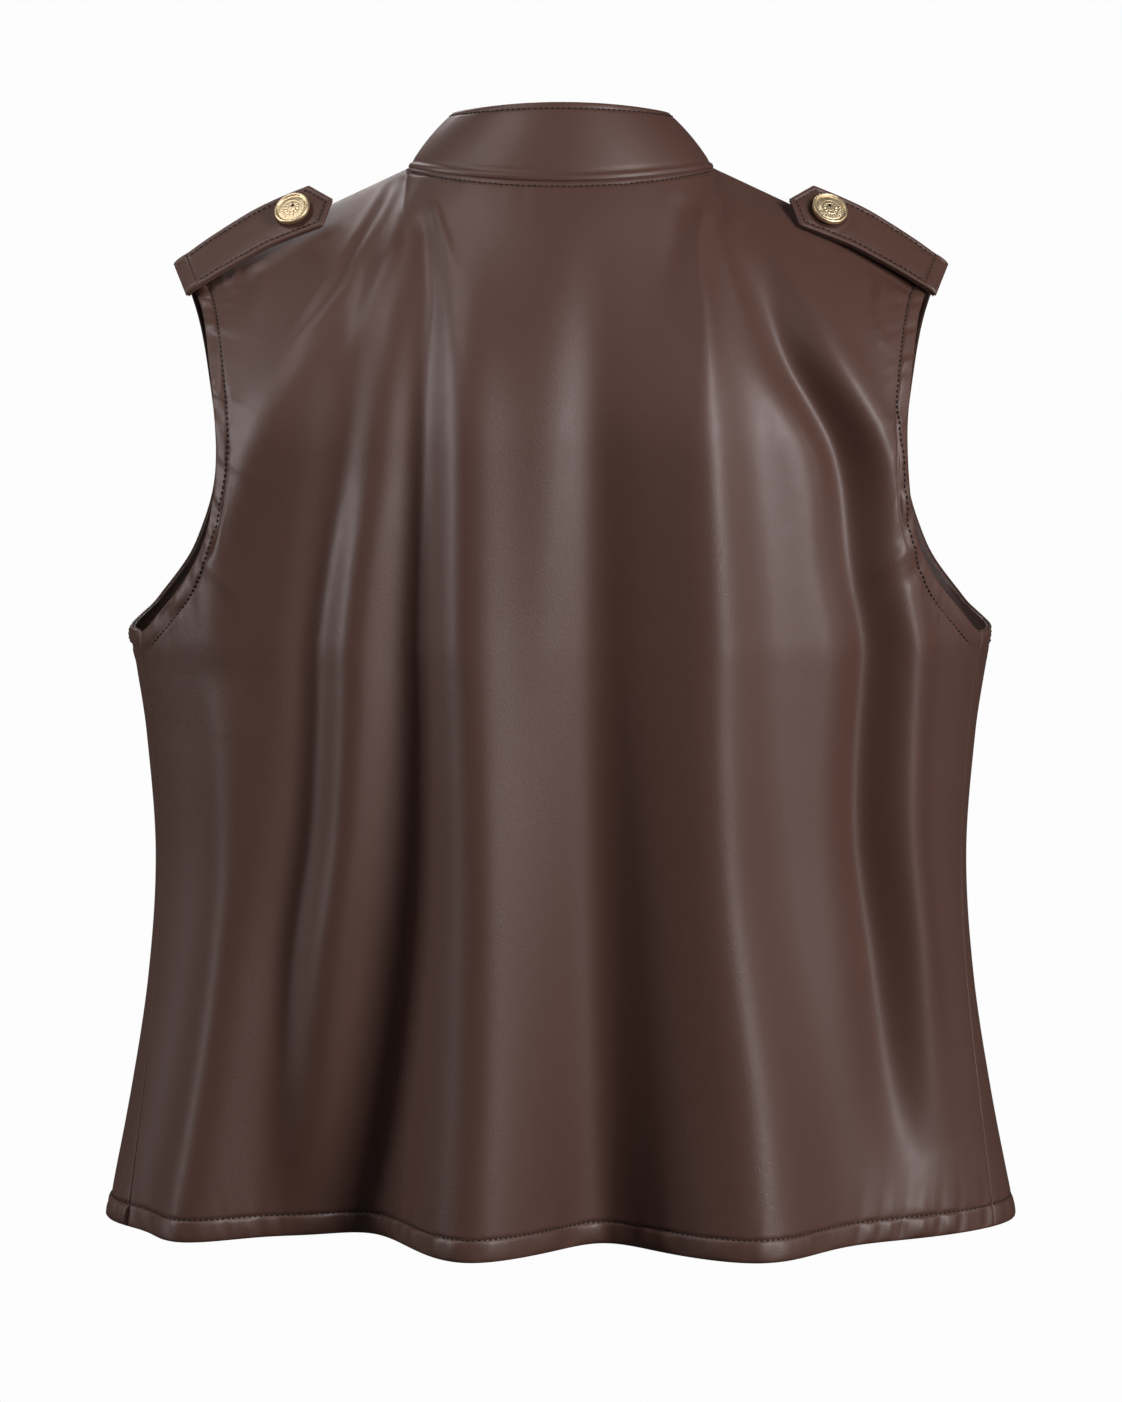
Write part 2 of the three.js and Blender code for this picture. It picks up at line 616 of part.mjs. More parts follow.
function button(name, place, outward) {
  const mesh = add(name, buttonGeometry(), brass);
  mesh.position.copy(place).addScaledVector(outward, BUTTON_SEAT);
  mesh.quaternion.setFromUnitVectors(new THREE.Vector3(0, 0, 1), outward);
}

function strapButton(name, side) {
  const { place, outward } = strapFrame(2);
  const flip = new THREE.Vector3(side, 1, 1);
  place.x += STRAP_BUTTON_SHIFT.x;
  place.z += STRAP_BUTTON_SHIFT.z;
  button(name, place.multiply(flip), outward.multiply(flip));
}

const back = backPanel();
const frontLeft = frontPanel('front_left_panel', 1);
const frontRight = frontPanel('front_right_panel', -1);
armholeFacing('armhole_facing_back_left', back.left, false);
armholeFacing('armhole_facing_back_right', back.right, true);
armholeFacing('armhole_facing_front_left', frontLeft, false);
armholeFacing('armhole_facing_front_right', frontRight, false);

collar();
for (const [name, side] of [['left', 1], ['right', -1]]) {
  shoulderStrap(`shoulder_strap_${name}`, side);
  strapButton(`strap_button_${name}`, side);
}
for (let i = 0; i < FRONT_BUTTONS.count; i += 1) {
  const z = FRONT_BUTTONS.top - i * FRONT_BUTTONS.pitch;
  button(`front_button_${i + 1}`, surface(-180, z), normalAt(-179.9, z));
}

export default group;
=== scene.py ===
"""A sleeveless leather vest, held hollow as when it is worn: its leather, seams, stitches and buttons.
Shapes are worked out in millimetres and built in metres. The front faces -Y, +X is the wearer's left."""
import math

import bpy
import numpy as np
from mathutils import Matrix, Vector


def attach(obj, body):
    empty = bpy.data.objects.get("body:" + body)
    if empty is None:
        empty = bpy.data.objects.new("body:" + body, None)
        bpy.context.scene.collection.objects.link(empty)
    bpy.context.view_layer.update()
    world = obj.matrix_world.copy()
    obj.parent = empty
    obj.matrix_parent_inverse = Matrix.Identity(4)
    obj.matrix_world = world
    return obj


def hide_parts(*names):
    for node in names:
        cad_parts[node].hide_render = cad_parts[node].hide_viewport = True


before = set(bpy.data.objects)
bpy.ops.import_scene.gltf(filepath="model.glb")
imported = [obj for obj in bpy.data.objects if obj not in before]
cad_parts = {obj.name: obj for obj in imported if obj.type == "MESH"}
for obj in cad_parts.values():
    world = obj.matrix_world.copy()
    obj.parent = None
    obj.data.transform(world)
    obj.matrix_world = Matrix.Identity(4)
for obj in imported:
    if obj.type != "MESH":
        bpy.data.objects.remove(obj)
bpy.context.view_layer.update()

MM = 0.001
SIDE_NAME = {1: "left", -1: "right"}     # the wearer's

# Driving sizes, in millimetres
WALL = 1.6
HEM_WALL = 2.8
HEM_DEPTH = 12
SEAM_GAP = 0.3
SIDE_SEAM = 0.08             # between the back and the fronts, down the sides
HEM_Z = -567
HEM_TOP_Z = HEM_Z + HEM_DEPTH
ARMPIT_Z = -246
NECK_HALF_WIDTH = 81.7
NAPE = (62, -8.2)            # y and z of the neckline's middle, behind
THROAT = (-80, -62)          # and in front
NECK_EASE = 20               # how softly the neckline's corner is rounded below the edge
NECK_BLEND = 50
SOFT_NECK = NECK_HALF_WIDTH + 8
SOFT_DIP = NECK_HALF_WIDTH - 12
SHOULDER_SLOPE = 0.465
SHOULDER_ROUNDNESS = 1.15
SHOULDER_START_X = 50        # from here out the top is rounder
SHOULDER_BLEND = 50
SHOULDER_TIP_X = 202
SHOULDER_TIP_Z = -SHOULDER_SLOPE * (SHOULDER_TIP_X - NECK_HALF_WIDTH)
CHEST_HALF_WIDTH = 232
ARCH_Z = -150                # from here up the panels lean in to their upper edge
MIDDLE_Z = -300              # height at the centre of the row that starts at the armpit
OVERLAP = 14
UNDERLAP_INSET = HEM_WALL + 0.5
LAP_EASE = 3
FACING_WALL = 1.0
FACING_TOP_X = 178
COLLAR_WALL = 3
COLLAR_HEIGHT = 42
COLLAR_TOP = {"half": 57, "back": 46, "front": -64}
COLLAR_TOP_Z = {"back": 33.7, "side": 29.7, "front": -23}
COLLAR_SEAT = 0.6
COLLAR_BULGE = 1.2
COLLAR_END_TURN = 0.7        # degrees from the centre front
STRAP_WIDTH = 30
BUTTON_RADIUS = 9.8
BUTTON_HEIGHT = 4.4
BUTTON_SEAT = 0.5
FRONT_BUTTONS = {"count": 6, "top": -88, "pitch": 81}
STITCH_PITCH = 3.0
STITCH_LENGTH = 2.1
ARMHOLE_STITCH = (10, 7)     # from the armhole's edge, at the side seam and at the shoulder
NECK_STITCH = 3.0            # from the neckline
FRONT_STITCH = 6             # from the upper front's edge

# How the surface is measured and how far its details reach
NORMAL_STEP = 0.4
NORMAL_DROP = 2              # read this far down, clear of the upper edge
SEAM_UPRIGHT = 25
FOLD_FADE = 40               # height over which a fold starts
ARMHOLE_REACH = 40
NECK_REACH = 25
HEM_PUCKERS = (6.4, 3.6)     # pitches of the long and the short ones
ARMHOLE_PUCKERS = (6, 3.4)

# Spacing of the mesh's rows and columns, in from an edge
HEM_ROWS = np.array([0, 0.2, 0.6, 1.2, 2.2, 3.6, 5, 6.5, 8, 9.3, 10.3, 11, 11.5, 12, 12.5, 13, 13.8, 15, 17])
LEVEL_ROWS = HEM_DEPTH + 7   # up to here the rows are level
SHOULDER_ROWS = np.array([4.4, 3.8, 3.3, 2.9, 2.5, 2, 1.4, 0.8, 0.4, 0.15, 0])
ARMHOLE_LENGTH = 270         # of one panel's armhole edge, roughly
EDGE_COLUMNS = np.array([9.6, 8.6, 7.8, 7.2, 6.7, 6.2, 5.7, 5.2, 4.6, 3.8, 2.9, 2, 1.3, 0.8, 0.4, 0.15, 0])
EDGE_BAND = 11
LAP_COLUMNS = np.array([0, 0.15, 0.5, 1, 1.8, 3, 4.5, 6, 8, 10.5, 13])
FACING_EDGE = np.array([10.5, 9, 7, 5.5, 4, 2.5, 1.3, 0.5, 0.15, 0])
FACING_INSIDE = np.array([0, 0.4, 1.2, 3, 6, 9, 12])
STRAP_EDGE = np.array([0, 0.15, 0.4, 0.8, 1.3, 1.9, 2.5, 3.1, 3.7, 4.5, 5.6])
EDGE_ROUND = 0.42            # an edge's radius, as a share of its wall


def table(columns, *rows):
    """A short table, as one array for each named column."""
    return dict(zip(columns.split(), np.array(rows, float).T))


# The trunk's level sections: half the width, and the depth behind and in front
SECTIONS = table(
    "z half back front",
    (-567, 248, 100, 132),
    (-499, 234.2, 101.5, 126),
    (-433, 223.8, 103.5, 123),
    (-367, 219.4, 106, 124),
    (-302, 223.7, 109, 128),
    (-269, 228.3, 110.5, 131),
    (-246, 232, 111.3, 132.5),
    (-160, 232, 112, 132),
    (0, 232, 108, 112),
)
# Where the side seam and the armholes' edges run, in degrees from the back centre
SEAM = table(
    "z deg",
    (-567, 70.4),
    (-499, 74.5),
    (-433, 77.5),
    (-367, 78.5),
    (-302, 76.5),
    (-246, 74.5),
)
BACK_ARMHOLE = table(
    "z deg",
    (-246, 74.5),
    (-242, 70.8),
    (-225, 61.8),
    (-210, 56.5),
    (-193, 52.9),
    (-174, 51.3),
    (-149, 50.8),
    (-114, 52.1),
    (-80, 54.4),
    (-67, 56.6),
    (SHOULDER_TIP_Z, 60.54),
)
FRONT_ARMHOLE = table(
    "z deg",
    (-246, 74.5),
    (-244.4, 90),
    (-238, 103),
    (-229, 109.8),
    (-213, 117),
    (-197, 120.7),
    (-174, 123.7),
    (-148, 124.4),
    (-114, 123.4),
    (-81, 121.9),
    (SHOULDER_TIP_Z, 119.46),
)


def fold(*rows):
    """A fold's stations from its top down: how far it stands out, and its half width in degrees."""
    return table("z deg lift spread", *rows)


FOLDS = {
    "left flute": fold(
        (-60, 12.5, 3, 4.5),
        (-105, 12.3, 6, 5),
        (-150, 12.2, 8, 5.3),
        (-258, 12, 11, 5.6),
        (-370, 11.5, 15, 6.4),
        (-470, 11.3, 20, 7.5),
        (-567, 11.6, 28, 8.3),
    ),
    "left hollow": fold(
        (-40, 18, -5, 3),
        (-100, 18.4, -10, 3.8),
        (-150, 18.8, -13, 4.4),
        (-258, 20.2, -16, 5.2),
        (-370, 22.4, -20, 6.4),
        (-470, 25, -28, 8),
        (-567, 27, -40, 9.5),
    ),
    "left small flute": fold(
        (-150, 22, 0, 4),
        (-208, 27, 2, 4),
        (-337, 31, 4, 4.5),
        (-414, 33, 4, 4.5),
        (-491, 33, 3, 5),
        (-567, 33, 0, 5),
    ),
    "left outer hollow": fold(
        (-40, 25, -3, 4),
        (-105, 28, -7, 4.6),
        (-208, 33, -11, 4.8),
        (-337, 38, -12, 5.3),
        (-414, 42, -12, 5.8),
        (-491, 42, -12, 6.4),
        (-567, 40, -13, 7),
    ),
    "left drag": fold(
        (-40, 30, 1.5, 4),
        (-105, 37, 4, 5),
        (-156, 44, 4.5, 5),
        (-208, 50, 4, 5),
        (-290, 52, 2, 6),
    ),
    "left outer flute": fold(
        (-300, 50, 3, 6),
        (-430, 52, 7, 7),
        (-567, 53, 13, 8),
    ),
    "centre hollow": fold(
        (-50, -4, -3, 4),
        (-105, -4.5, -6, 4.6),
        (-160, -4.5, -9, 5),
        (-270, -4.5, -12, 5.8),
        (-380, -5, -15, 6.3),
        (-480, -5.2, -19, 6.5),
        (-567, -5.5, -25, 6.5),
    ),
    "right flute": fold(
        (-40, -16, 4, 4),
        (-100, -17.8, 9, 4.6),
        (-160, -18.7, 12, 5.2),
        (-270, -20, 13, 6.5),
        (-380, -22, 17, 7.5),
        (-480, -24, 24, 9),
        (-567, -23.8, 33, 10),
    ),
    "right drag": fold(
        (-30, -22.5, -4, 3),
        (-58, -26.3, -10, 3.4),
        (-100, -31, -14, 3.7),
        (-150, -39.3, -13, 4),
        (-208, -41.5, -10, 4.2),
        (-255, -44.8, -11, 4.3),
        (-337, -46.4, -12, 4.8),
        (-414, -49.5, -11, 5.4),
        (-491, -50, -8, 6),
        (-550, -50, 0, 6),
    ),
    "right outer flute": fold(
        (-60, -33.5, 4, 4),
        (-100, -38.5, 6, 4.2),
        (-150, -46.5, 6, 4.3),
        (-208, -49.5, 5, 4.4),
        (-255, -53, 7, 4.5),
        (-337, -55.5, 8, 5),
        (-414, -58.5, 7, 5),
        (-520, -59, 0, 6),
    ),
    "front left flute": fold(
        (-180, 152, 0, 7),
        (-300, 153, 5, 7),
        (-430, 154, 12, 8),
        (-567, 154, 24, 9),
    ),
    "front left hollow": fold(
        (-230, 132, 0, 7),
        (-350, 131, -7, 8),
        (-567, 130, -24, 10),
    ),
    "front right flute": fold(
        (-200, -149, 0, 7),
        (-320, -150, 6, 7),
        (-440, -151, 13, 9),
        (-567, -152, 27, 10),
    ),
    "front right hollow": fold(
        (-210, -129, 0, 7),
        (-350, -128, -8, 8),
        (-567, -126, -26, 10),
    ),
}


def lerp(a, b, t):
    return a + (b - a) * t


def smooth(t):
    """From 0 to 1 with a soft start and end."""
    k = np.clip(t, 0, 1)
    return k * k * (3 - 2 * k)


def bell(x, width):
    """1 in the middle, and falling off softly to both sides."""
    return np.exp(-((x / width) ** 2))


def read_at(rows, column, z):
    """A smooth curve through a table's column, read at any height."""
    up = 1 if rows["z"][-1] > rows["z"][0] else -1
    heights = up * rows["z"]
    values = rows[column]
    at = np.clip(up * np.asarray(z, float), heights[0], heights[-1])
    count = len(heights)
    i = np.clip(np.searchsorted(heights, at) - 1, 0, count - 2)
    before = np.maximum(np.arange(count) - 1, 0)
    after = np.minimum(np.arange(count) + 1, count - 1)
    slope = (values[after] - values[before]) / (heights[after] - heights[before])
    step = heights[i + 1] - heights[i]
    t = (at - heights[i]) / step
    start = (2 * t**3 - 3 * t**2 + 1) * values[i] + (t**3 - 2 * t**2 + t) * slope[i] * step
    end = (3 * t**2 - 2 * t**3) * values[i + 1] + (t**3 - t**2) * slope[i + 1] * step
    return start + end


def half_width(z):
    return read_at(SECTIONS, "half", z)


def turn_to(x, z):
    """The degrees from the centre at which the surface reaches an x, at a height."""
    return np.degrees(np.arcsin(np.clip(x / half_width(z), -1, 1)))


def fold_lift(deg, z):
    """How far the folds stand out at an angle and a height."""
    lift = np.zeros(np.shape(deg))
    for rows in FOLDS.values():
        fade = smooth((rows["z"].max() + FOLD_FADE - z) / FOLD_FADE)
        shape = bell(deg - read_at(rows, "deg", z), read_at(rows, "spread", z))
        lift += fade * read_at(rows, "lift", z) * shape
    return lift


def rim(x, back):
    """The panels' upper edge above a given x: the neckline, then the shoulder seam."""
    side = np.where(back, 1, -1)
    across = np.abs(x) / NECK_HALF_WIDTH
    k = np.sqrt(np.clip(1 - across * across, 0, 1))
    y = side * SEAM_GAP / 2 + np.where(back, NAPE[0], THROAT[0]) * k
    neck_z = np.where(back, NAPE[1] * k * k, THROAT[1] * k**1.5)
    shoulder_z = -SHOULDER_SLOPE * (np.abs(x) - NECK_HALF_WIDTH)
    return y, np.where(across >= 1, shoulder_z, neck_z)


def soft_rim(x, back):
    """The same edge rounded off, which the leather follows further down."""
    past = np.abs(x) - NECK_HALF_WIDTH
    sloped = (past + np.hypot(past, NECK_EASE)) / 2
    y = np.where(back, NAPE[0], THROAT[0]) * bell(x, SOFT_NECK)
    dip = np.where(back, NAPE[1], THROAT[1]) * bell(x, SOFT_DIP)
    return y, dip - SHOULDER_SLOPE * sloped


def surface(deg, z):
    """The outer surface: deg from the back centre, + to the wearer's left, and a height."""
    deg, z = np.broadcast_arrays(np.asarray(deg, float), np.asarray(z, float))
    back = np.abs(deg) <= 90
    half = half_width(z)
    depth = np.where(back, read_at(SECTIONS, "back", z), read_at(SECTIONS, "front", z))
    sin = np.sin(np.radians(deg))
    cos = np.cos(np.radians(deg))
    lift = fold_lift(deg, z)
    outward = np.hypot(depth * sin, half * cos)
    x = half * sin
    edge_y, edge_z = rim(x, back)
    soft_y, soft_z = soft_rim(x, back)
    below = smooth((edge_z - z) / NECK_BLEND)
    top_y = lerp(edge_y, soft_y, below)
    top_z = lerp(edge_z, soft_z, below)
    t = np.clip((top_z - z) / (top_z - ARCH_Z), 0, 1)
    roundness = lerp(1, SHOULDER_ROUNDNESS, smooth((np.abs(x) - SHOULDER_START_X) / SHOULDER_BLEND))
    over = (1 - (1 - t) ** 2) ** (1 / roundness)
    y = depth * cos + lift * half * cos / outward
    return np.stack([x + over * lift * depth * sin / outward, lerp(top_y, y, over), z], -1)


def unit(v):
    return v / np.maximum(np.linalg.norm(v, axis=-1, keepdims=True), 1e-9)


def normal_at(deg, z):
    """The outward normal, with no front-to-back lean at the shoulder seam."""
    deg, z = np.broadcast_arrays(np.asarray(deg, float), np.asarray(z, float))
    low = z - NORMAL_DROP
    across = surface(deg + NORMAL_STEP, low) - surface(deg - NORMAL_STEP, low)
    up = surface(deg, low) - surface(deg, low - NORMAL_STEP)
    n = unit(np.cross(up, across))
    x = surface(deg, z)[..., 0]
    upright = smooth((rim(x, np.abs(deg) <= 90)[1] - z) / SEAM_UPRIGHT)
    n[..., 1] *= np.where(np.abs(x) > NECK_HALF_WIDTH - 1, upright, 1)
    return unit(n)


def running(path):
    """The running length at each point of a path."""
    steps = np.linalg.norm(np.diff(path, axis=0), axis=1)
    return np.concatenate([[0], np.cumsum(steps)])


def nearest_on(points, path):
    """Each point's distance to a path, and the running length of its nearest place there."""
    length = running(path)
    flat = points.reshape(-1, 3)
    away = np.empty(len(flat))
    at = np.empty(len(flat))
    start, end = path[:-1], path[1:]
    along = end - start
    size = (along**2).sum(1)
    chunk = 4000
    for i in range(0, len(flat), chunk):
        part = flat[i : i + chunk, None, :] - start[None]
        t = np.clip((part * along).sum(-1) / size, 0, 1)
        gap = np.linalg.norm(part - t[..., None] * along, axis=-1)
        best = gap.argmin(1)
        row = np.arange(len(best))
        away[i : i + chunk] = gap[row, best]
        at[i : i + chunk] = length[best] + t[row, best] * np.sqrt(size[best])
    return away.reshape(points.shape[:-1]), at.reshape(points.shape[:-1])


def near_path(points, path, reach):
    """Which points lie within reach of a path, their distance to it and the running length there."""
    near = np.all((points > path.min(0) - reach) & (points < path.max(0) + reach), axis=-1)
    return near, *nearest_on(points[near], path)


def read_path(path, length, at):
    """The places on a path at some running lengths."""
    return np.stack([np.interp(at, length, column) for column in path.T], -1)


def wobble(x, seed, pitch):
    """Smooth irregular values from -1 to 1 along a length."""
    count = 1024
    values = np.random.RandomState(seed).uniform(-1, 1, count)
    k = np.asarray(x, float) / pitch + 200
    i = np.floor(k).astype(int)
    return lerp(values[i % count], values[(i + 1) % count], smooth(k - i))


def puckers(along, seed, pitches):
    """The ripples that stitches draw: long ones and short ones."""
    return 0.6 * wobble(along, seed + 2, pitches[0]) + 0.25 * wobble(along, seed + 3, pitches[1])


def armhole_path(back, side):
    """The armhole's edge as places on the surface, evenly spaced from the side seam to the shoulder."""
    rows = BACK_ARMHOLE if back else FRONT_ARMHOLE
    count = len(rows["z"])
    k = np.linspace(0, count - 1, 600)
    z = np.interp(k, np.arange(count), rows["z"])
    deg = read_at(rows, "deg", z)
    length = running(surface(deg, z))
    even = np.linspace(0, length[-1], 260)
    return side * np.interp(even, length, deg), np.interp(even, length, z)


def armhole_stitch_inset(share):
    """How far the armhole's stitches lie from its edge, from the side seam up."""
    return lerp(*ARMHOLE_STITCH, share)


# Small creases, each from its strong end: its places as (x, z), how far it stands out (- is a groove)
# and its half width
BACK_CREASES = (
    (((-88, -8), (-96, -20), (-103, -30), (-112, -40), (-120, -48), (-130, -58)), 1.1, 3.4),
    (((-94, -26), (-102, -40), (-110, -56), (-122, -76), (-132, -96)), -1.6, 6),
    (((-85, -7), (-82, -20), (-80, -31), (-85, -48), (-90, -66), (-98, -88), (-105, -104)), 0.9, 2.6),
    (((-84, -12), (-86, -28), (-92, -44), (-98, -62), (-106, -84)), -1, 3.4),
    (((-76, -10), (-75, -24), (-72, -36), (-71, -56), (-74, -71), (-77, -110), (-80, -136)), 2.2, 5),
    (((-64, -14), (-60, -30), (-58, -50), (-58, -80)), -1.2, 6),
    (((93, -7), (100, -21), (106, -32), (118, -52), (128, -68), (142, -88), (159, -110)), 0.8, 2.4),
    (((86, -7), (92, -21), (99, -33), (104, -44), (117, -68), (136, -90), (149, -106), (165, -126)),
     0.9, 2.6),
    (((90, -10), (97, -26), (110, -46), (124, -68), (140, -92)), -0.9, 2),
    (((78, -10), (85, -31), (90, -46), (97, -64), (104, -84), (110, -100), (116, -117), (121, -130)),
     1.5, 4.8),
    (((67, -18), (64, -27), (59, -43), (53, -60)), 1.3, 2.6),
    (((72, -22), (70, -50), (68, -70), (68, -88), (66, -126)), -1.8, 6),
    (((173, -50), (173, -58), (175, -66), (180, -71)), 1.1, 1.8),
    (((179, -57), (178, -64), (176, -70)), 0.8, 1.5),
    (((168, -54), (168, -64), (172, -76)), -0.9, 2.6),
    (((160, -52), (158, -66), (160, -84)), 0.8, 4),
    (((-174, -58), (-178, -66), (-185, -71)), 1, 1.8),
    (((-166, -82), (-169, -92), (-176, -94)), 0.8, 1.8),
    (((-170, -57), (-169, -70), (-174, -80)), 0.9, 2.4),
    (((-163, -58), (-162, -72), (-166, -90)), -0.9, 3),
    (((-181, -110), (-172, -112), (-160, -118)), 0.5, 2.2),
    (((-180, -134), (-170, -132), (-158, -136)), 0.5, 2.4),
    (((-186, -196), (-172, -206), (-150, -222)), 0.9, 4),
    (((-190, -206), (-176, -220), (-158, -240)), -0.8, 4),
    (((181, -150), (168, -156), (150, -166)), 0.5, 3),
    (((188, -204), (176, -216), (160, -236)), 0.7, 4),
    (((192, -67), (182, -62), (170, -56), (156, -49), (140, -41)), -0.8, 3.6),
    (((-192, -67), (-182, -62), (-170, -56), (-156, -49), (-140, -41)), -1.7, 3.6),
)
FRONT_CREASES = (
    (((-88, -8), (-96, -24), (-108, -44), (-124, -70)), 1.1, 3),
    (((-84, -14), (-86, -34), (-92, -62), (-98, -96)), 1.2, 4),
    (((90, -8), (99, -26), (114, -50), (134, -80)), 1.1, 2.6),
    (((84, -14), (88, -36), (94, -64), (101, -96)), 1.4, 4),
    (((172, -54), (172, -64), (177, -74)), 0.9, 2),
    (((-170, -56), (-170, -66), (-175, -76)), 0.9, 2),
    (((-190, -206), (-176, -220), (-158, -240)), 0.8, 4),
    (((190, -206), (176, -222), (156, -240)), 0.8, 4),
)


def rounded(knots, count):
    """A smooth curve through a few points, evenly spaced."""
    knots = np.asarray(knots, float)
    length = running(knots)
    at = np.linspace(0, length[-1], count)
    columns = [read_at({"z": length, "value": column}, "value", at) for column in knots.T]
    return np.stack(columns, -1)


def crease_lift(x, z, creases):
    """How far the small creases stand out, each fading from its strong end."""
    lift = np.zeros(np.shape(x))
    points = np.stack([x, z, np.zeros(np.shape(x))], -1)
    for line, height, width in creases:
        path = rounded([(px, pz, 0) for px, pz in line], 30)
        near, away, at = near_path(points, path, 3 * width)
        share = at / running(path)[-1]
        taper = smooth((share + 0.03) / 0.15) * (1 - smooth((share - 0.35) / 0.65))
        lift[near] += height * taper * bell(away, width * (0.75 + 0.6 * share))
    return lift


def hem_relief(z, along, seed):
    """The turned hem: its roll, the sunk stitch line and the puckers that the stitches draw."""
    up = z - HEM_Z
    past = up - HEM_DEPTH
    arch = np.sin(np.pi * np.clip(up / HEM_DEPTH, 0, 1))
    slant = along + 0.35 * past * wobble(along, seed + 5, 60)
    busy = 0.35 + 0.65 * smooth(0.5 + 0.9 * wobble(along, seed + 1, 55))
    band = arch**0.5 * (past < 0)
    above = 0.7 * np.exp(-np.clip(past, 0, None) / 10) * smooth(past / 2)
    ripple = busy * puckers(slant, seed, HEM_PUCKERS) * (2.2 * band + 1.7 * above)
    return 0.7 * arch**0.6 - 0.65 * bell(past, 0.9) + ripple


def armhole_relief(points, back, side, seed):
    """The armhole's stitched band: its roll, the sunk stitch line and its small slanted puckers."""
    path = surface(*armhole_path(back, side))
    near, away, at = near_path(points, path, ARMHOLE_REACH)
    inset = armhole_stitch_inset(at / running(path)[-1])
    past = away - inset
    arch = np.sin(np.pi * np.clip(away / inset, 0, 1))
    busy = 0.5 + 0.5 * smooth(0.5 + wobble(at, seed + 1, 30))
    beyond = 0.8 * np.exp(-np.clip(past, 0, None) / 9) * smooth(past / 4)
    ripple = busy * puckers(at + 0.7 * past, seed, ARMHOLE_PUCKERS) * (1.8 * arch**0.5 + 1.5 * beyond)
    lift = np.zeros(points.shape[:-1])
    lift[near] = 0.55 * arch**0.6 - 0.6 * bell(past, 0.9) + ripple
    return lift


def neck_relief(points, back):
    """The topstitched line just below the collar seam."""
    x = np.linspace(-NECK_HALF_WIDTH, NECK_HALF_WIDTH, 120) * 0.9999
    y, z = rim(x, np.full(x.shape, back))
    near, away, at = near_path(points, np.stack([x, y, z], -1), NECK_REACH)
    past = away - NECK_STITCH
    ripple = 0.3 * wobble(at, 77, 6) * np.exp(-np.clip(past, 0, None) / 8) * (past > 0)
    lift = np.zeros(points.shape[:-1])
    lift[near] = ripple - 0.45 * bell(past, 0.8)
    return lift


def relief(deg, z, along, seed):
    """Everything that stands out from the plain surface by less than a few millimetres."""
    points = surface(deg, z)
    back = bool(np.abs(deg).mean() <= 90)
    lift = hem_relief(z, along, seed)
    for side in (1, -1):
        if back or np.sign(deg.mean()) == side:
            lift += armhole_relief(points, back, side, seed + 20 * side + 40)
    lift += neck_relief(points, back)
    lift += crease_lift(points[..., 0], z, BACK_CREASES if back else FRONT_CREASES)
    return lift


def column_tops(neck_columns, shoulder_columns, first_x=0.0):
    """Columns across half a panel, as x on its upper edge, closer together near its outer edge."""
    neck = NECK_HALF_WIDTH * np.sin(np.linspace(0, np.pi / 2, neck_columns))
    shoulder = np.linspace(NECK_HALF_WIDTH, SHOULDER_TIP_X - EDGE_BAND, shoulder_columns)[1:]
    tops = np.concatenate([neck, shoulder, SHOULDER_TIP_X - EDGE_COLUMNS])
    return tops[tops >= first_x]


def edge_rows(back, seam_rows, armhole_rows):
    """For a half panel's rows: the outer edge's degrees, the height's share at the centre and at that edge,
    and how many rows start below the armpit."""
    rise = np.linspace(LEVEL_ROWS, ARMPIT_Z - HEM_Z, seam_rows)
    seam_z = HEM_Z + np.concatenate([HEM_ROWS, rise])
    seam_deg = read_at(SEAM, "deg", seam_z)
    deg, z = armhole_path(back, 1)
    last = 1 - (SHOULDER_ROWS[0] + 0.8) / ARMHOLE_LENGTH
    k = np.concatenate([np.linspace(0, last, armhole_rows)[1:], 1 - SHOULDER_ROWS / ARMHOLE_LENGTH])
    armhole_deg = np.interp(k, np.linspace(0, 1, len(deg)), deg)
    armhole_z = np.interp(k, np.linspace(0, 1, len(z)), z)
    top_z = rim(np.array(0.0), np.array(back))[1]
    middle = MIDDLE_Z - HEM_Z
    seam_up = seam_z - HEM_Z
    low = np.minimum(seam_up, LEVEL_ROWS)
    high = np.clip((seam_up - LEVEL_ROWS) / (ARMPIT_Z - HEM_Z - LEVEL_ROWS), 0, 1)
    centre_seam = low + high * (middle - LEVEL_ROWS)
    centre = np.concatenate([centre_seam, middle + k * (top_z - HEM_Z - middle)])
    edge_deg = np.concatenate([seam_deg, armhole_deg])
    edge_z = np.concatenate([seam_z, armhole_z])
    centre_share = centre / (top_z - HEM_Z)
    edge_share = (edge_z - HEM_Z) / (edge_z[-1] - HEM_Z)
    return edge_deg, centre_share, edge_share, len(seam_z)


def half_panel(back, tops, rows):
    """Places on the surface over half a panel: rows from the hem up, columns from the centre out."""
    edge_deg, centre_share, edge_share, _ = rows
    from_centre = edge_deg if back else 180 - edge_deg
    top_deg = np.degrees(np.arcsin(tops / CHEST_HALF_WIDTH))
    out = top_deg / from_centre[-1]
    share = lerp(centre_share[:, None], edge_share[:, None], out[None] ** 5)
    top_z = rim(tops, np.full(len(tops), back))[1]
    z = lerp(HEM_Z, top_z[None], share)
    deg = from_centre[:, None] * out[None]
    return deg, z


def edge_inset(lengths, wall):
    """How far a surface draws in next to its free edge, so that the edge is round."""
    radius = wall * EDGE_ROUND
    d = np.clip(radius - lengths, 0, radius)
    return radius - np.sqrt(radius**2 - d**2)


def border_distance(points):
    """The distance to the nearest border of a grid, measured along its rows and columns."""
    across = np.linalg.norm(np.diff(points, axis=1), axis=-1)
    up = np.linalg.norm(np.diff(points, axis=0), axis=-1)
    left = np.concatenate([np.zeros((points.shape[0], 1)), np.cumsum(across, 1)], 1)
    low = np.concatenate([np.zeros((1, points.shape[1])), np.cumsum(up, 0)], 0)
    return np.minimum.reduce([left, left[:, -1:] - left, low, low[-1:] - low])


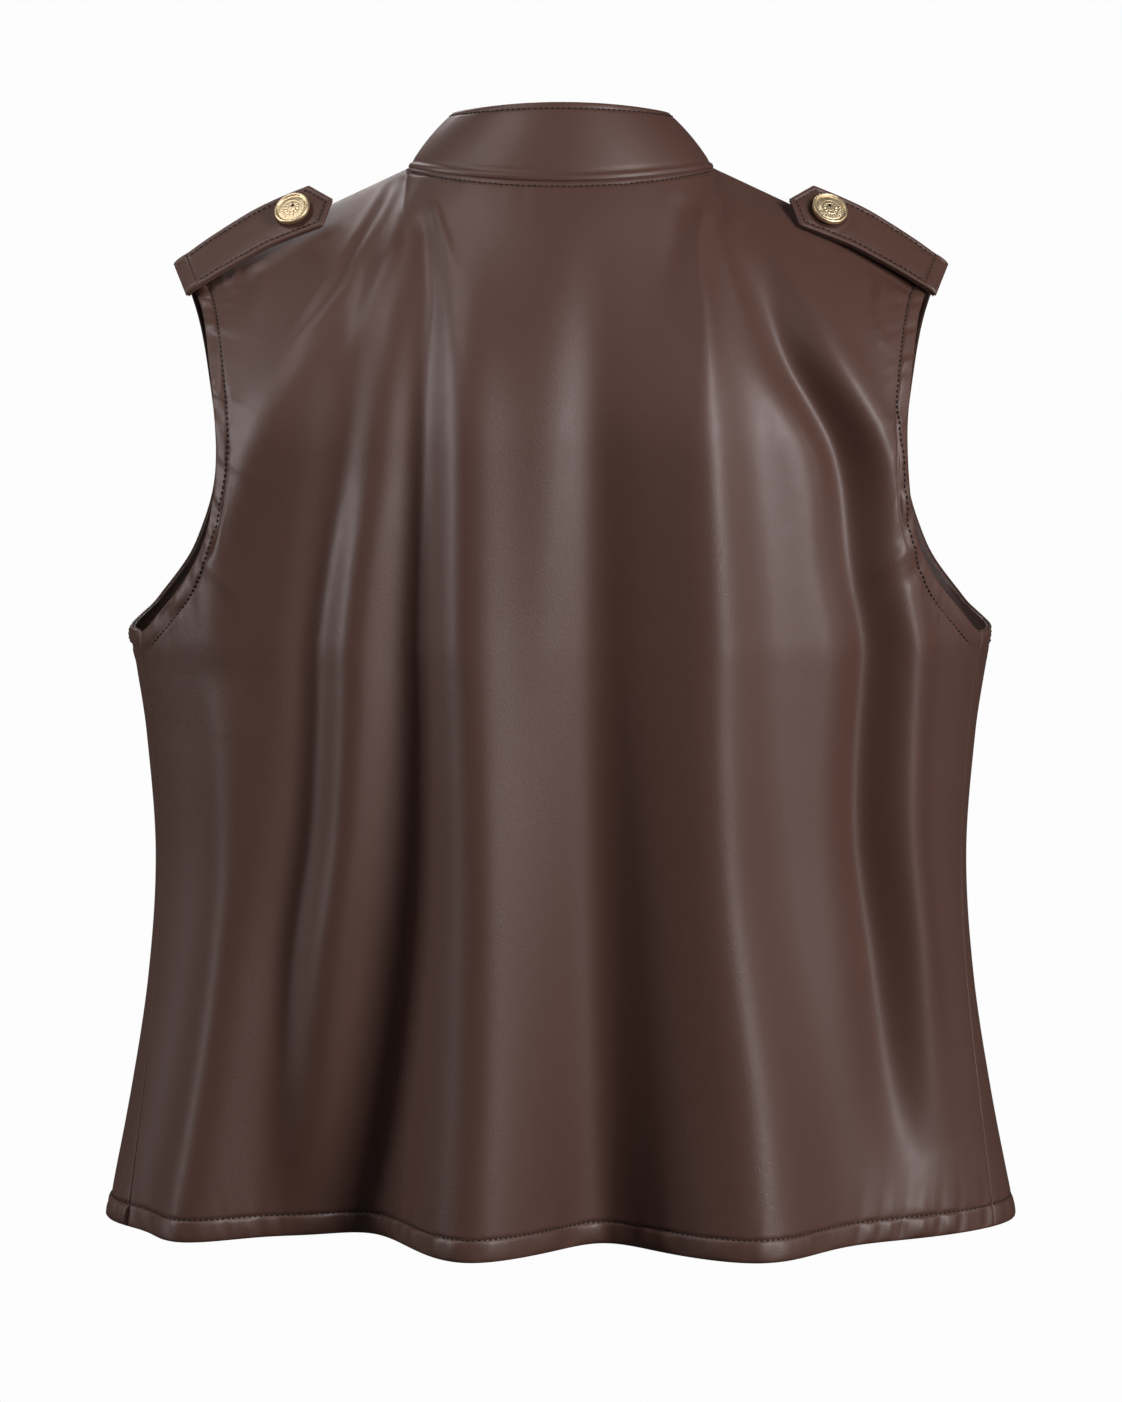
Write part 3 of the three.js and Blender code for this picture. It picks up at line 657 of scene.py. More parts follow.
def add_mesh(name, vertices, faces, materials, face_materials=None):
    """A smooth mesh object from points in millimetres."""
    mesh = bpy.data.meshes.new(name)
    mesh.from_pydata((np.asarray(vertices) * MM).tolist(), [], faces)
    for material in materials:
        mesh.materials.append(material)
    if face_materials is not None:
        mesh.polygons.foreach_set("material_index", np.asarray(face_materials, np.int32))
    mesh.polygons.foreach_set("use_smooth", np.ones(len(mesh.polygons), bool))
    mesh.validate()
    mesh.update()
    piece = bpy.data.objects.new(name, mesh)
    bpy.context.scene.collection.objects.link(piece)
    return piece


def grid_faces(rows, columns, first=0, flip=False):
    j, i = np.meshgrid(np.arange(rows - 1), np.arange(columns - 1), indexing="ij")
    a = (first + j * columns + i).ravel()
    quads = np.stack([a, a + 1, a + columns + 1, a + columns], 1)
    return quads[:, ::-1] if flip else quads


def border_loop(rows, columns):
    low = np.arange(columns)
    right = np.arange(1, rows) * columns + columns - 1
    top = (rows - 1) * columns + np.arange(columns - 2, -1, -1)
    left = np.arange(rows - 2, 0, -1) * columns
    return np.concatenate([low, right, top, left])


def rim_faces(rows, columns):
    """The strip that closes a grid and its coarser inner one along their border."""
    loop = border_loop(rows, columns)
    a, b = loop[0::2], loop[1::2]
    c = np.roll(a, -1)
    inner = border_loop((rows + 1) // 2, (columns + 1) // 2) + rows * columns
    following = np.roll(inner, -1)
    return np.concatenate([
        np.stack([b, a, inner], 1),
        np.stack([c, b, following], 1),
        np.stack([b, inner, following], 1),
    ])


def shell(name, outer, inner, materials, inner_material=None):
    """A closed thin wall between two grids of points. Its inner side keeps every second row and column."""
    rows, columns = outer.shape[:2]
    inner = inner[::2, ::2]
    vertices = np.concatenate([outer.reshape(-1, 3), inner.reshape(-1, 3)])
    outside = grid_faces(rows, columns)
    inside = grid_faces(*inner.shape[:2], rows * columns, flip=True)
    edge = rim_faces(rows, columns)
    slots = np.zeros(len(outside) + len(inside) + len(edge), int)
    if inner_material is not None:
        slots[len(outside) : len(outside) + len(inside)] = inner_material[:-1:2, :-1:2].ravel()
    quads = np.concatenate([outside, inside])
    a, b, c, d = (vertices[quads[:, k]] for k in range(4))
    size = (np.cross(b - a, c - a) * a).sum() + (np.cross(c - a, d - a) * a).sum()
    if size < 0:
        quads, edge = quads[:, ::-1], edge[:, ::-1]
    return add_mesh(name, vertices, quads.tolist() + edge.tolist(), materials, slots)


# Materials


def start_material(name):
    """A material, its node tree and its shader."""
    material = bpy.data.materials.new(name)
    material.use_nodes = True
    tree = material.node_tree
    return material, tree, tree.nodes["Principled BSDF"]


def texture(tree, kind, output, **sockets):
    """A texture over the object's own coordinates."""
    made = tree.nodes.new(kind)
    for key, value in sockets.items():
        made.inputs[key].default_value = value
    where = tree.nodes.new("ShaderNodeTexCoord")
    tree.links.new(where.outputs["Object"], made.inputs["Vector"])
    return made.outputs[output]


def noise(tree, scale, detail):
    return texture(tree, "ShaderNodeTexNoise", "Fac", Scale=scale, Detail=detail)


def vary_colour(tree, shader, factor, dark, light):
    tone = tree.nodes.new("ShaderNodeMix")
    tone.data_type = "RGBA"
    tone.inputs["A"].default_value = (*dark, 1)
    tone.inputs["B"].default_value = (*light, 1)
    tree.links.new(factor, tone.inputs["Factor"])
    tree.links.new(tone.outputs["Result"], shader.inputs["Base Color"])


def vary_roughness(tree, shader, factor, low, high):
    spread = tree.nodes.new("ShaderNodeMapRange")
    spread.inputs["To Min"].default_value = low
    spread.inputs["To Max"].default_value = high
    tree.links.new(factor, spread.inputs["Value"])
    tree.links.new(spread.outputs["Result"], shader.inputs["Roughness"])


def add_bump(tree, shader, height, strength, distance):
    bump = tree.nodes.new("ShaderNodeBump")
    bump.inputs["Strength"].default_value = strength
    bump.inputs["Distance"].default_value = distance
    tree.links.new(height, bump.inputs["Height"])
    tree.links.new(bump.outputs["Normal"], shader.inputs["Normal"])


def leather_material(name, dark, light, roughness, grain=0.12):
    """Coated leather: fine grain, faint clouding and uneven gloss."""
    material, tree, shader = start_material(name)
    shader.inputs["Specular IOR Level"].default_value = 0.5
    shader.inputs["Coat Weight"].default_value = 0.1
    shader.inputs["Coat Roughness"].default_value = 0.26
    vary_colour(tree, shader, noise(tree, 9.0, 4.0), dark, light)
    vary_roughness(tree, shader, noise(tree, 160.0, 3.0), roughness - 0.06, roughness + 0.08)
    mixed = tree.nodes.new("ShaderNodeMath")
    mixed.operation = "ADD"
    tree.links.new(texture(tree, "ShaderNodeTexVoronoi", "Distance", Scale=1100.0), mixed.inputs[0])
    tree.links.new(noise(tree, 520.0, 3.0), mixed.inputs[1])
    add_bump(tree, shader, mixed.outputs["Value"], grain, 0.0004)
    return material


def gilt_material():
    """Pale gold plating, a little uneven."""
    material, tree, shader = start_material("gilt")
    shader.inputs["Metallic"].default_value = 1.0
    uneven = noise(tree, 700.0, 3.0)
    vary_colour(tree, shader, uneven, (0.84, 0.66, 0.38), (0.98, 0.84, 0.58))
    vary_roughness(tree, shader, uneven, 0.34, 0.52)
    return material


def plain_material(name, colour, roughness):
    """Thread, backing cloth or the painted shade inside a button's hole: a matt colour with a fine weave of
    light and dark.
    """
    material, tree, shader = start_material(name)
    shader.inputs["Roughness"].default_value = roughness
    weave = noise(tree, 900.0, 2.0)
    vary_colour(tree, shader, weave, [c * 0.7 for c in colour], [c * 1.3 for c in colour])
    add_bump(tree, shader, weave, 0.3, 0.0003)
    return material


LEATHER = leather_material("leather", (0.084, 0.0392, 0.0282), (0.098, 0.0472, 0.0345), 0.48)
# The facing's leather is lighter than the panels': painted light, standing in for light that barely reaches
# inside the armholes.
PAINTED_LIGHT_FACING = leather_material("facing", (0.11, 0.058, 0.045), (0.13, 0.07, 0.056), 0.5, grain=0.08)
BACKING = plain_material("backing", (0.05, 0.033, 0.028), 0.85)
THREAD = plain_material("thread", (0.012, 0.007, 0.0055), 0.75)
# Near-black matt for the inside of a button's small hole: painted shade.
PIT_SHADE = plain_material("painted_pit_shade", (0.02, 0.014, 0.01), 0.7)
GILT = gilt_material()


def place(piece, slot_name, *nodes):
    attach(piece, "root")
    if nodes:
        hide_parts(*nodes)
    return piece


def wall_depth(z):
    """The wall is thicker where the hem is turned up inside."""
    return lerp(HEM_WALL, WALL, smooth((z - HEM_TOP_Z - 1.5) / 1.2))


def along_hem(deg):
    """The running length along the hem's edge for each column."""
    row = surface(deg[0], np.full(deg.shape[1], HEM_Z))
    return np.broadcast_to(running(row), deg.shape)


def layer(name, deg, z, seed, lower, wall, materials, backing=None):
    """A closed wall with the surface's relief. lower is how far it lies below the outer surface."""
    base = surface(deg, z)
    normal = normal_at(deg, z)
    border = border_distance(base)
    inset = edge_inset(border, wall)
    out = relief(deg, z, along_hem(deg), seed) * smooth(border / 2) - lower
    outer = base + normal * (out - inset)[..., None]
    inner = base + normal * (out - wall + inset)[..., None]
    return shell(name, outer, inner, materials, backing)


def panel(name, deg, z, seed, lower=0.0):
    """A panel of leather, with its backing inside above the turned hem."""
    backing = z > HEM_TOP_Z + 2
    return layer(name, deg, z, seed, lower, wall_depth(z), (LEATHER, BACKING), backing)


def seed_of(back, side):
    """Each panel has a pattern of puckers of its own."""
    if back:
        return 11
    return 31 if side > 0 else 51


def open_side_seam(deg, z):
    """Draws the outer column in by half of the side seam's gap, below the armpit."""
    radian = half_width(z[:, -1]) / 2     # length on the side for a radian of deg
    deg[:, -1] -= np.where(z[:, -1] < ARMPIT_Z + 0.01, np.degrees(SIDE_SEAM / 2 / radian), 0)


def make_back():
    deg, z = half_panel(True, column_tops(62, 87), edge_rows(True, 80, 110))
    open_side_seam(deg, z)
    deg = np.concatenate([-deg[:, :0:-1], deg], 1)
    z = np.concatenate([z[:, :0:-1], z], 1)
    return place(panel("vest_back", deg, z, seed_of(True, 1)), "leather", "back_panel")


def make_front(side):
    """side is 1 for the wearer's left front, which lies below at the centre, and -1 for the right one."""
    deg, z = half_panel(False, column_tops(54, 60, 4), edge_rows(False, 60, 80))
    lap = turn_to(LAP_COLUMNS - OVERLAP, z[:, :1])
    deg = np.concatenate([lap, deg], 1)
    z = np.concatenate([np.repeat(z[:, :1], len(LAP_COLUMNS), 1), z], 1)
    open_side_seam(deg, z)
    x = half_width(z) * np.sin(np.radians(deg))
    lower = UNDERLAP_INSET * (1 - smooth((x - OVERLAP - LAP_EASE - 1) / 8)) if side > 0 else 0.0
    front = panel(f"vest_front_{SIDE_NAME[side]}", side * (180 - deg), z, seed_of(False, side), lower)
    return place(front, "leather", f"front_{SIDE_NAME[side]}_panel")


def make_facing(back, side):
    """A smooth strip inside the armhole, under the panel, in lighter leather as painted light."""
    rows = edge_rows(back, 4, 71)
    first = rows[3]
    tops = np.concatenate([FACING_TOP_X + FACING_INSIDE, SHOULDER_TIP_X - FACING_EDGE])
    deg, z = half_panel(back, tops, rows)
    deg, z = deg[first:], z[first:]
    deg = side * (deg if back else 180 - deg)
    where = ("back_" if back else "front_") + SIDE_NAME[side]
    strip = layer(f"facing_{where}", deg, z, seed_of(back, side), WALL + SEAM_GAP, FACING_WALL, (PAINTED_LIGHT_FACING,))
    return place(strip, "facing", f"armhole_facing_{where}")


# Stitches


def bead(length, width, height):
    """One stitch of thread along X, as a small closed bead."""
    sides = 6
    rings = ((-0.36, 0.75), (0, 1), (0.36, 0.75))     # place and thickness, as shares
    angles = [math.tau * k / sides for k in range(sides)]
    vertices = [(-length / 2, 0, 0)]
    for x, size in rings:
        y, z = size * width / 2, size * height / 2
        vertices += [(x * length, math.cos(angle) * y, math.sin(angle) * z) for angle in angles]
    vertices.append((length / 2, 0, 0))
    last = len(vertices) - 1
    faces = []
    for k in range(sides):
        j = (k + 1) % sides
        faces.append((0, 1 + j, 1 + k))
        for first in (1, 1 + sides):
            faces.append((first + k, first + j, first + sides + j, first + sides + k))
        faces.append((last, last - sides + k, last - sides + j))
    return np.array(vertices), faces


def stitches(name, lines, width=0.8, height=1.0, rise=0.25):
    """Stitches along some lines, each a path and its normals, raised a little above them, as one piece."""
    shape, faces = bead(STITCH_LENGTH, width, height)
    points, polygons = [], []
    for path, normals in lines:
        length = running(path)
        count = max(int(length[-1] / STITCH_PITCH), 2)
        at = (np.arange(count) + 0.5) * length[-1] / count
        up = unit(read_path(normals, length, at))
        along = unit(read_path(path, length, at + 1) - read_path(path, length, at - 1))
        axes = np.stack([along, unit(np.cross(up, along)), up], 1)
        for centre, turn in zip(read_path(path, length, at) + up * rise, axes):
            first = len(points) * len(shape)
            points.append(centre + shape @ turn)
            polygons += [[first + v for v in face] for face in faces]
    return place(add_mesh(name, np.concatenate(points), polygons, (THREAD,)), "leather")


def on_panel(deg, z, seed):
    """Places on the finished surface along a line, with their normals."""
    deg, z = deg[None], z[None]
    normal = normal_at(deg, z)
    lift = relief(deg, z, np.zeros(deg.shape), seed)
    points = surface(deg, z) + normal * lift[..., None]
    return points[0], normal[0]


def armhole_line(back, side):
    """The stitch line inside an armhole's edge, as places on the surface."""
    deg, z = armhole_path(back, side)
    path = surface(deg, z)
    normal = normal_at(deg, z)
    share = running(path) / running(path)[-1]
    tangent = unit(np.gradient(path, axis=0))
    inward = unit(np.cross(normal, tangent)) * (-1 if back == (side > 0) else 1)
    moved = path + inward * armhole_stitch_inset(share)[:, None]
    turn = turn_to(moved[:, 0], moved[:, 2])
    return (turn if back else side * 180 - turn), moved[:, 2]


def hem_line(first, last, seed):
    deg = np.linspace(first, last, 400)
    return on_panel(deg, np.full(400, HEM_TOP_Z), seed)


def neck_line(back, first, last, seed):
    """The stitch line below the collar seam, from one x to another."""
    x = np.linspace(first, last, 240)
    z = rim(x, np.full(240, back))[1] - 0.5
    deg = turn_to(x, z) if back else 180 - turn_to(x, z)
    drop = np.linalg.norm(surface(deg, z) - surface(deg, z - 1), axis=1)
    return on_panel(deg, z - (NECK_STITCH - 0.5) / drop, seed)


def front_line(seed):
    """A stitch line beside the upper front's edge."""
    z = np.linspace(HEM_TOP_Z + 2, THROAT[1] - 9, 300)
    return on_panel(-180 - turn_to(OVERLAP - FRONT_STITCH, z), z, seed)


def make_stitches():
    """The sewn lines: armholes, hem, neckline and front edge, one piece for each panel."""
    keep = slice(1, -2)     # clear of the side seam and the shoulder seam
    clear = 0.3     # degrees from the side seam
    neck_start, neck_end = 20, 79
    seam = float(read_at(SEAM, "deg", HEM_TOP_Z))
    for back, side, name in ((True, 1, "back"), (False, 1, "front_left"), (False, -1, "front_right")):
        seed = seed_of(back, side)
        lines = []
        for armhole_side in (1, -1) if back else (side,):
            deg, z = armhole_line(back, armhole_side)
            lines.append(on_panel(deg[keep], z[keep], seed))
        if back:
            lines.append(hem_line(-seam + clear, seam - clear, seed))
            lines.append(neck_line(True, -neck_end, neck_end, seed))
        else:
            end = 176.5 if side > 0 else 182.5     # the lower front's line stops under the upper one
            lines.append(hem_line(side * (seam + clear), side * end, seed))
            lines.append(neck_line(False, side * neck_start, side * neck_end, seed))
        if side < 0:
            lines.append(front_line(seed))
        stitches(f"stitches_{name}", lines)


# Collar

COLLAR_TOP_STITCH = 38.2     # above its foot
COLLAR_FOOT_GROOVE = 4.2
COLLAR_TONGUE = np.array([-0.075, -0.073, -0.06, -0.016])   # its seam allowance, behind the panels
COLLAR_TONGUE_DEPTH = WALL + 0.35
COLLAR_FOOT_ROWS = np.array([0, 0.006, 0.02, 0.04, 0.06, 0.08])     # as shares of its height
COLLAR_TOP_ROWS = np.array([0.88, 0.9, 0.91, 0.92, 0.94, 0.96, 0.975, 0.985, 0.994, 1])


def collar_point(turn, up, depth):
    """The collar stands on the neckline and leans in. turn is in degrees from the nape, up from 0 to 1."""
    angle = np.radians(turn)
    behind = np.abs(turn) <= 90
    x = NECK_HALF_WIDTH * np.sin(angle)
    foot_y, foot_z = rim(x, behind)
    base = np.stack([x, foot_y, foot_z], -1)
    cos = np.cos(angle)
    end = np.where(behind, COLLAR_TOP_Z["back"], COLLAR_TOP_Z["front"])
    brim_y = np.where(behind, COLLAR_TOP["back"], -COLLAR_TOP["front"]) * cos
    brim_z = COLLAR_TOP_Z["side"] + (end - COLLAR_TOP_Z["side"]) * cos * cos
    brim = np.stack([COLLAR_TOP["half"] * np.sin(angle), brim_y, brim_z], -1)
    rise = brim - base
    height = np.linalg.norm(rise, axis=-1, keepdims=True)
    outward = unit(np.stack([x, foot_y, np.zeros_like(x)], -1))
    lean = unit(outward - rise * (outward * rise).sum(-1, keepdims=True) / height**2)
    bulge = COLLAR_BULGE * np.sin(np.pi * up)
    lift = lerp(COLLAR_SEAT, height[..., 0], up)
    return base + rise / height * lift[..., None] + lean * (bulge - depth)[..., None]


def collar_relief(turn, up):
    """The collar's rolled foot, the sunk stitch line along its top and its soft unevenness."""
    rise = up * COLLAR_HEIGHT
    along = turn * 1.4     # roughly in millimetres
    below_top = rise - COLLAR_TOP_STITCH
    roll = 0.55 * bell(rise - 1.6, 1.3) - 0.35 * bell(rise - COLLAR_FOOT_GROOVE, 1.1)
    ripple = 0.1 * wobble(along, 93, 4.5) * bell(below_top, 2.4)
    return roll - 0.4 * bell(below_top, 0.8) + ripple + 0.5 * wobble(along, 91, 26) * np.sin(np.pi * up)


def make_collar():
    """The collar as a closed wall with a tongue at its foot, and the stitches along its top."""
    ups = np.concatenate([COLLAR_TONGUE, COLLAR_FOOT_ROWS, np.linspace(0.11, 0.86, 27), COLLAR_TOP_ROWS])
    end = 180 - COLLAR_END_TURN
    up, turn = np.meshgrid(ups, np.linspace(-end, end, 421), indexing="ij")
    border = border_distance(collar_point(turn, up, np.zeros(up.shape)))
    out = collar_relief(turn, up) * smooth(border / 1.5)
    tongue = up < 0
    inset = edge_inset(border, COLLAR_WALL)
    inset = np.where(tongue, np.minimum(inset, 0.35), inset)
    outer = collar_point(turn, up, np.where(tongue, COLLAR_TONGUE_DEPTH + inset, inset - out))
    inner = collar_point(turn, up, COLLAR_WALL - inset)
    turn = np.linspace(1.5 - end, end - 1.5, 500)
    up = np.full(turn.shape, COLLAR_TOP_STITCH / COLLAR_HEIGHT)
    path = collar_point(turn, up, -collar_relief(turn, up))
    normal = collar_point(turn, up, -1.0 + 0 * up) - collar_point(turn, up, 0 * up)
    stitches("stitches_collar", [(path, normal)])
    return place(shell("stand_collar", outer, inner, (LEATHER,)), "leather", "collar")


# Straps

STRAP_LINE = table(
    "x y z lean",
    (121.5, 13.8, -16.2, 0),
    (130.6, 13.7, -19.6, 0),
    (145.8, 12.5, -25.5, 0.1),
    (159.2, 12, -31.3, 0.3),
    (172.7, 12.3, -38.8, 0.5),
    (186, 13, -46.8, 0.75),
    (196, 13.3, -53.4, 0.95),
    (201, 13.3, -56.8, 1),
    (203.2, 12.5, -59.4, 1),
)
STRAP_INNER = unit(np.array([-0.27, 0.65, -0.71]))     # across it, down the back
STRAP_OUTER = unit(np.array([-0.28, 0.79, -0.54]))
STRAP_POINT = 9.7            # length of its pointed end
STRAP_STITCH = 3.2           # in from its outline
STRAP_SEAM = 82.5            # from the point to the seam across it
STRAP_BUTTON = (21.6, 0)     # along and across
STRAP_LAYER = 1.55           # thickness of each of its two layers
STRAP_TURNING = 1.6          # from its seam to the groove and the stitches behind it


def strap_course():
    """The strap's middle line, its running length and the directions across and out of it."""
    knots = np.stack([STRAP_LINE[key] for key in "xyz"], 1)
    path = rounded(knots, 400)
    length = running(path)
    share = np.interp(length / length[-1], running(knots) / running(knots)[-1], STRAP_LINE["lean"])
    across = unit(lerp(STRAP_INNER, STRAP_OUTER, share[:, None]))
    return path, length, across, unit(np.cross(np.gradient(path, axis=0), across))


STRAP_COURSE = strap_course()
STRAP_LENGTH = STRAP_COURSE[1][-1]


def strap_frame(along):
    """Points along the strap's middle, and the directions across and out of it there."""
    path, length, across, outward = STRAP_COURSE
    at = np.clip(along, 0, STRAP_LENGTH)
    return read_path(path, length, at), *(unit(read_path(row, length, at)) for row in (across, outward))


def strap_border(along, across):
    """The distance in from the strap's outline."""
    half = STRAP_WIDTH / 2
    side = half - np.abs(across)
    point = (along * half - np.abs(across) * STRAP_POINT) / math.hypot(half, STRAP_POINT)
    return np.clip(np.minimum(np.minimum(side, point), STRAP_LENGTH - along), 0, None)


def strap_relief(along, across):
    """The strap's rolled edge, sunk stitch line, seam and the dimple under its button."""
    border = strap_border(along, across)
    lift = 0.28 * bell(border - 1.5, 0.9) - 0.34 * bell(border - STRAP_STITCH, 0.8)
    lift += 0.35 * smooth((border - 4) / 6)
    lift += 0.12 * wobble(along + across, 7, 3.4) * bell(border - STRAP_STITCH, 2.6)
    lift += 0.5 * smooth((along - STRAP_SEAM - 0.2) / 0.7)
    lift -= 0.35 * bell(along - STRAP_SEAM - STRAP_TURNING, 0.6)
    away = np.hypot(along - STRAP_BUTTON[0], across - STRAP_BUTTON[1])
    lift += 0.3 * bell(away - BUTTON_RADIUS - 1.3, 0.6) * (along > STRAP_BUTTON[0] - 4)
    return lift - 0.4 * smooth((BUTTON_RADIUS + 0.8 - away) / 1.2)


def strap_point(along, across, depth, side):
    places, sideways, normals = strap_frame(along)
    points = places + sideways * across[..., None] - normals * depth[..., None]
    return points * np.array([side, 1, 1])


def strap_layer(name, side, top, shrink, raised):
    """One of the strap's two layers of leather, top below its outer face."""
    half = STRAP_WIDTH / 2 - shrink
    edge = STRAP_EDGE / half
    columns = np.concatenate([edge - 1, np.linspace(-0.55, 0.55, 15), 1 - edge[::-1]])
    tip = STRAP_EDGE[:7]
    rows = np.concatenate([tip, np.linspace(3.1, STRAP_LENGTH - 3.3, 123), STRAP_LENGTH - tip[::-1]])
    along, share = np.meshgrid(rows, columns, indexing="ij")
    across = share * half * np.clip(along / STRAP_POINT, 0.03, 1)
    along = along + shrink * (1 - along / STRAP_LENGTH)
    border = strap_border(along, across) - shrink
    inset = edge_inset(np.clip(border, 0, None), STRAP_LAYER * 1.15)
    lift = strap_relief(along, across) * smooth(border / 1.2) * raised
    outer = strap_point(along, across, top + inset - lift, side)
    inner = strap_point(along, across, top + STRAP_LAYER - inset, side)
    return shell(name, outer, inner, (LEATHER,))


def strap_stitches(side):
    """A sewn line inside the strap's outline, and one across its seam."""
    half = STRAP_WIDTH / 2
    inside = half - STRAP_STITCH
    skew = STRAP_STITCH * math.hypot(half, STRAP_POINT) / half
    corner = skew + STRAP_POINT * inside / half
    outline = [(STRAP_SEAM, -inside), (corner, -inside), (skew, 0), (corner, inside), (STRAP_SEAM, inside)]
    turning = [(STRAP_SEAM + STRAP_TURNING, 1 - half), (STRAP_SEAM + STRAP_TURNING, half - 1)]
    lines = []
    for knots in (outline, turning):
        knots = np.array(knots, float)
        length = running(knots)
        along, across = read_path(knots, length, np.linspace(0, length[-1], 400)).T
        lift = strap_relief(along, across)
        path = strap_point(along, across, -lift, side)
        lines.append((path, strap_point(along, across, -lift - 1, side) - path))
    return stitches(f"stitches_strap_{SIDE_NAME[side]}", lines, width=0.7, height=0.9, rise=0.2)


def make_strap(side):
    """A pointed shoulder strap of two layers, from beside the neck to the armhole's edge."""
    where = SIDE_NAME[side]
    upper = strap_layer(f"strap_upper_{where}", side, 0, 0, 1)
    place(upper, "leather", f"shoulder_strap_{where}")
    lower = strap_layer(f"strap_lower_{where}", side, STRAP_LAYER + 0.08, 0.35, 0)
    place(lower, "leather")
    strap_stitches(side)


# Buttons

BUTTON_SEGMENTS = 120
BUTTON_THICKNESS = 2.7
BUTTON_FACE = 8.1            # radius inside its rolled rim
BUTTON_FACE_DROP = 0.75      # from the rim's top
BUTTON_ROLL = (0.75, 0.62)   # half the width of its rolled rim, and how high that stands
BUTTON_SHANK = 3.0
BUTTON_RINGS = (2.3, 4.4, 7.5)
BUTTON_SPOKES = {"outer": 30, "inner": 12}
BUTTON_PIT = (0.1, 1.5, 1.05)   # x, y and radius of its small hole


def pit_distance(x, y):
    return np.hypot(x - BUTTON_PIT[0], y - BUTTON_PIT[1])


def button_face(radius, angle, seed):
    """The stamped face's height: a low dome, rings, fine spokes and a small hole."""
    height = 0.5 * (1 - (radius / BUTTON_FACE) ** 2)
    for ring in BUTTON_RINGS:
        height = height - 0.13 * bell(radius - ring, 0.26)
    outer = smooth((radius - 4.7) / 0.5) * smooth((7.3 - radius) / 0.5)
    inner = smooth((radius - 2.6) / 0.4) * smooth((4.2 - radius) / 0.4)
    uneven = 0.6 + 0.4 * wobble(angle * 9, seed, 1)
    height = height + 0.15 * outer * np.cos(BUTTON_SPOKES["outer"] * angle) * uneven
    height = height + 0.1 * inner * np.cos(BUTTON_SPOKES["inner"] * angle)
    x, y = radius * np.sin(angle), radius * np.cos(angle)
    height = height + 0.05 * wobble(x + 0.4 * y, seed + 1, 0.9) * wobble(y - 0.3 * x, seed + 2, 0.8)
    return height - 1.3 * smooth((BUTTON_PIT[2] - pit_distance(x, y)) / 0.35)


def button_profile():
    """Radius and height from the face's middle over the rim, under it and down the shank."""
    low = BUTTON_HEIGHT - BUTTON_THICKNESS
    wide, high = BUTTON_ROLL
    face = np.concatenate([np.linspace(0.3, 2.9, 14), np.linspace(3.05, BUTTON_FACE, 30)])
    roll = np.linspace(0, math.pi, 11)
    rim_radius = BUTTON_FACE + wide + 0.1 - wide * np.cos(roll)
    rim_height = BUTTON_HEIGHT - high + high * np.sin(roll)
    under = (
        (BUTTON_RADIUS, BUTTON_HEIGHT - 1),
        (BUTTON_RADIUS, low + 0.5),
        (BUTTON_RADIUS - 0.25, low + 0.12),
        (BUTTON_RADIUS - 0.8, low),
        (BUTTON_SHANK + 0.2, low),
        (BUTTON_SHANK, low - 0.3),
        (BUTTON_SHANK, 0.05),
    )
    radius = np.concatenate([face, rim_radius, [r for r, _ in under]])
    face_height = np.full(len(face), BUTTON_HEIGHT - BUTTON_FACE_DROP)
    return radius, np.concatenate([face_height, rim_height, [z for _, z in under]]), len(face)


def make_button(name, centre, outward, seed):
    """A gold-coloured metal button on a shank."""
    radius, height, face_rings = button_profile()
    angle = np.linspace(0, math.tau, BUTTON_SEGMENTS, endpoint=False)
    r, a = np.meshgrid(radius, angle, indexing="ij")
    z = np.repeat(height[:, None], BUTTON_SEGMENTS, 1)
    z[:face_rings] += button_face(r[:face_rings], a[:face_rings], seed)
    points = np.stack([r * np.sin(a), r * np.cos(a), z], -1)
    # Faces inside the small hole take the near-black material: painted shade in the hole.
    painted_pit_shade = pit_distance(points[..., 0], points[..., 1]) < BUTTON_PIT[2] - 0.15
    middle = [(0, 0, BUTTON_HEIGHT - 0.25), (0, 0, height[-1])]
    points = np.concatenate([points.reshape(-1, 3), middle])
    top = len(radius) * BUTTON_SEGMENTS
    last = top - BUTTON_SEGMENTS
    faces, slots = [], []
    for k in range(BUTTON_SEGMENTS):
        ahead = (k + 1) % BUTTON_SEGMENTS
        for j in range(len(radius) - 1):
            first = j * BUTTON_SEGMENTS
            following = first + BUTTON_SEGMENTS
            faces.append((first + k, following + k, following + ahead, first + ahead))
            slots.append(int(painted_pit_shade[j, k] and j < face_rings))
        faces += [(top, k, ahead), (top + 1, last + ahead, last + k)]
        slots += [0, 0]
    up = unit(np.array([0, 0, 1.0]) - outward * outward[2])
    across = np.cross(up, outward)
    moved = centre + outward * BUTTON_SEAT + points @ np.stack([across, up, outward])
    return place(add_mesh(f"gilt_{name}", moved, faces, (GILT, PIT_SHADE), slots), "gilt", name)


def make_buttons():
    centre, _, outward = strap_frame(np.array([STRAP_BUTTON[0]]))
    for side, where in SIDE_NAME.items():
        flip = np.array([side, 1, 1])
        make_button(f"strap_button_{where}", centre[0] * flip, outward[0] * flip, 200 + side)
    for k in range(FRONT_BUTTONS["count"]):
        z = np.array([FRONT_BUTTONS["top"] - k * FRONT_BUTTONS["pitch"]], float)
        centre = surface(np.array([-180.0]), z)[0]
        make_button(f"front_button_{k + 1}", centre, normal_at(np.array([-179.9]), z)[0], 210 + k)
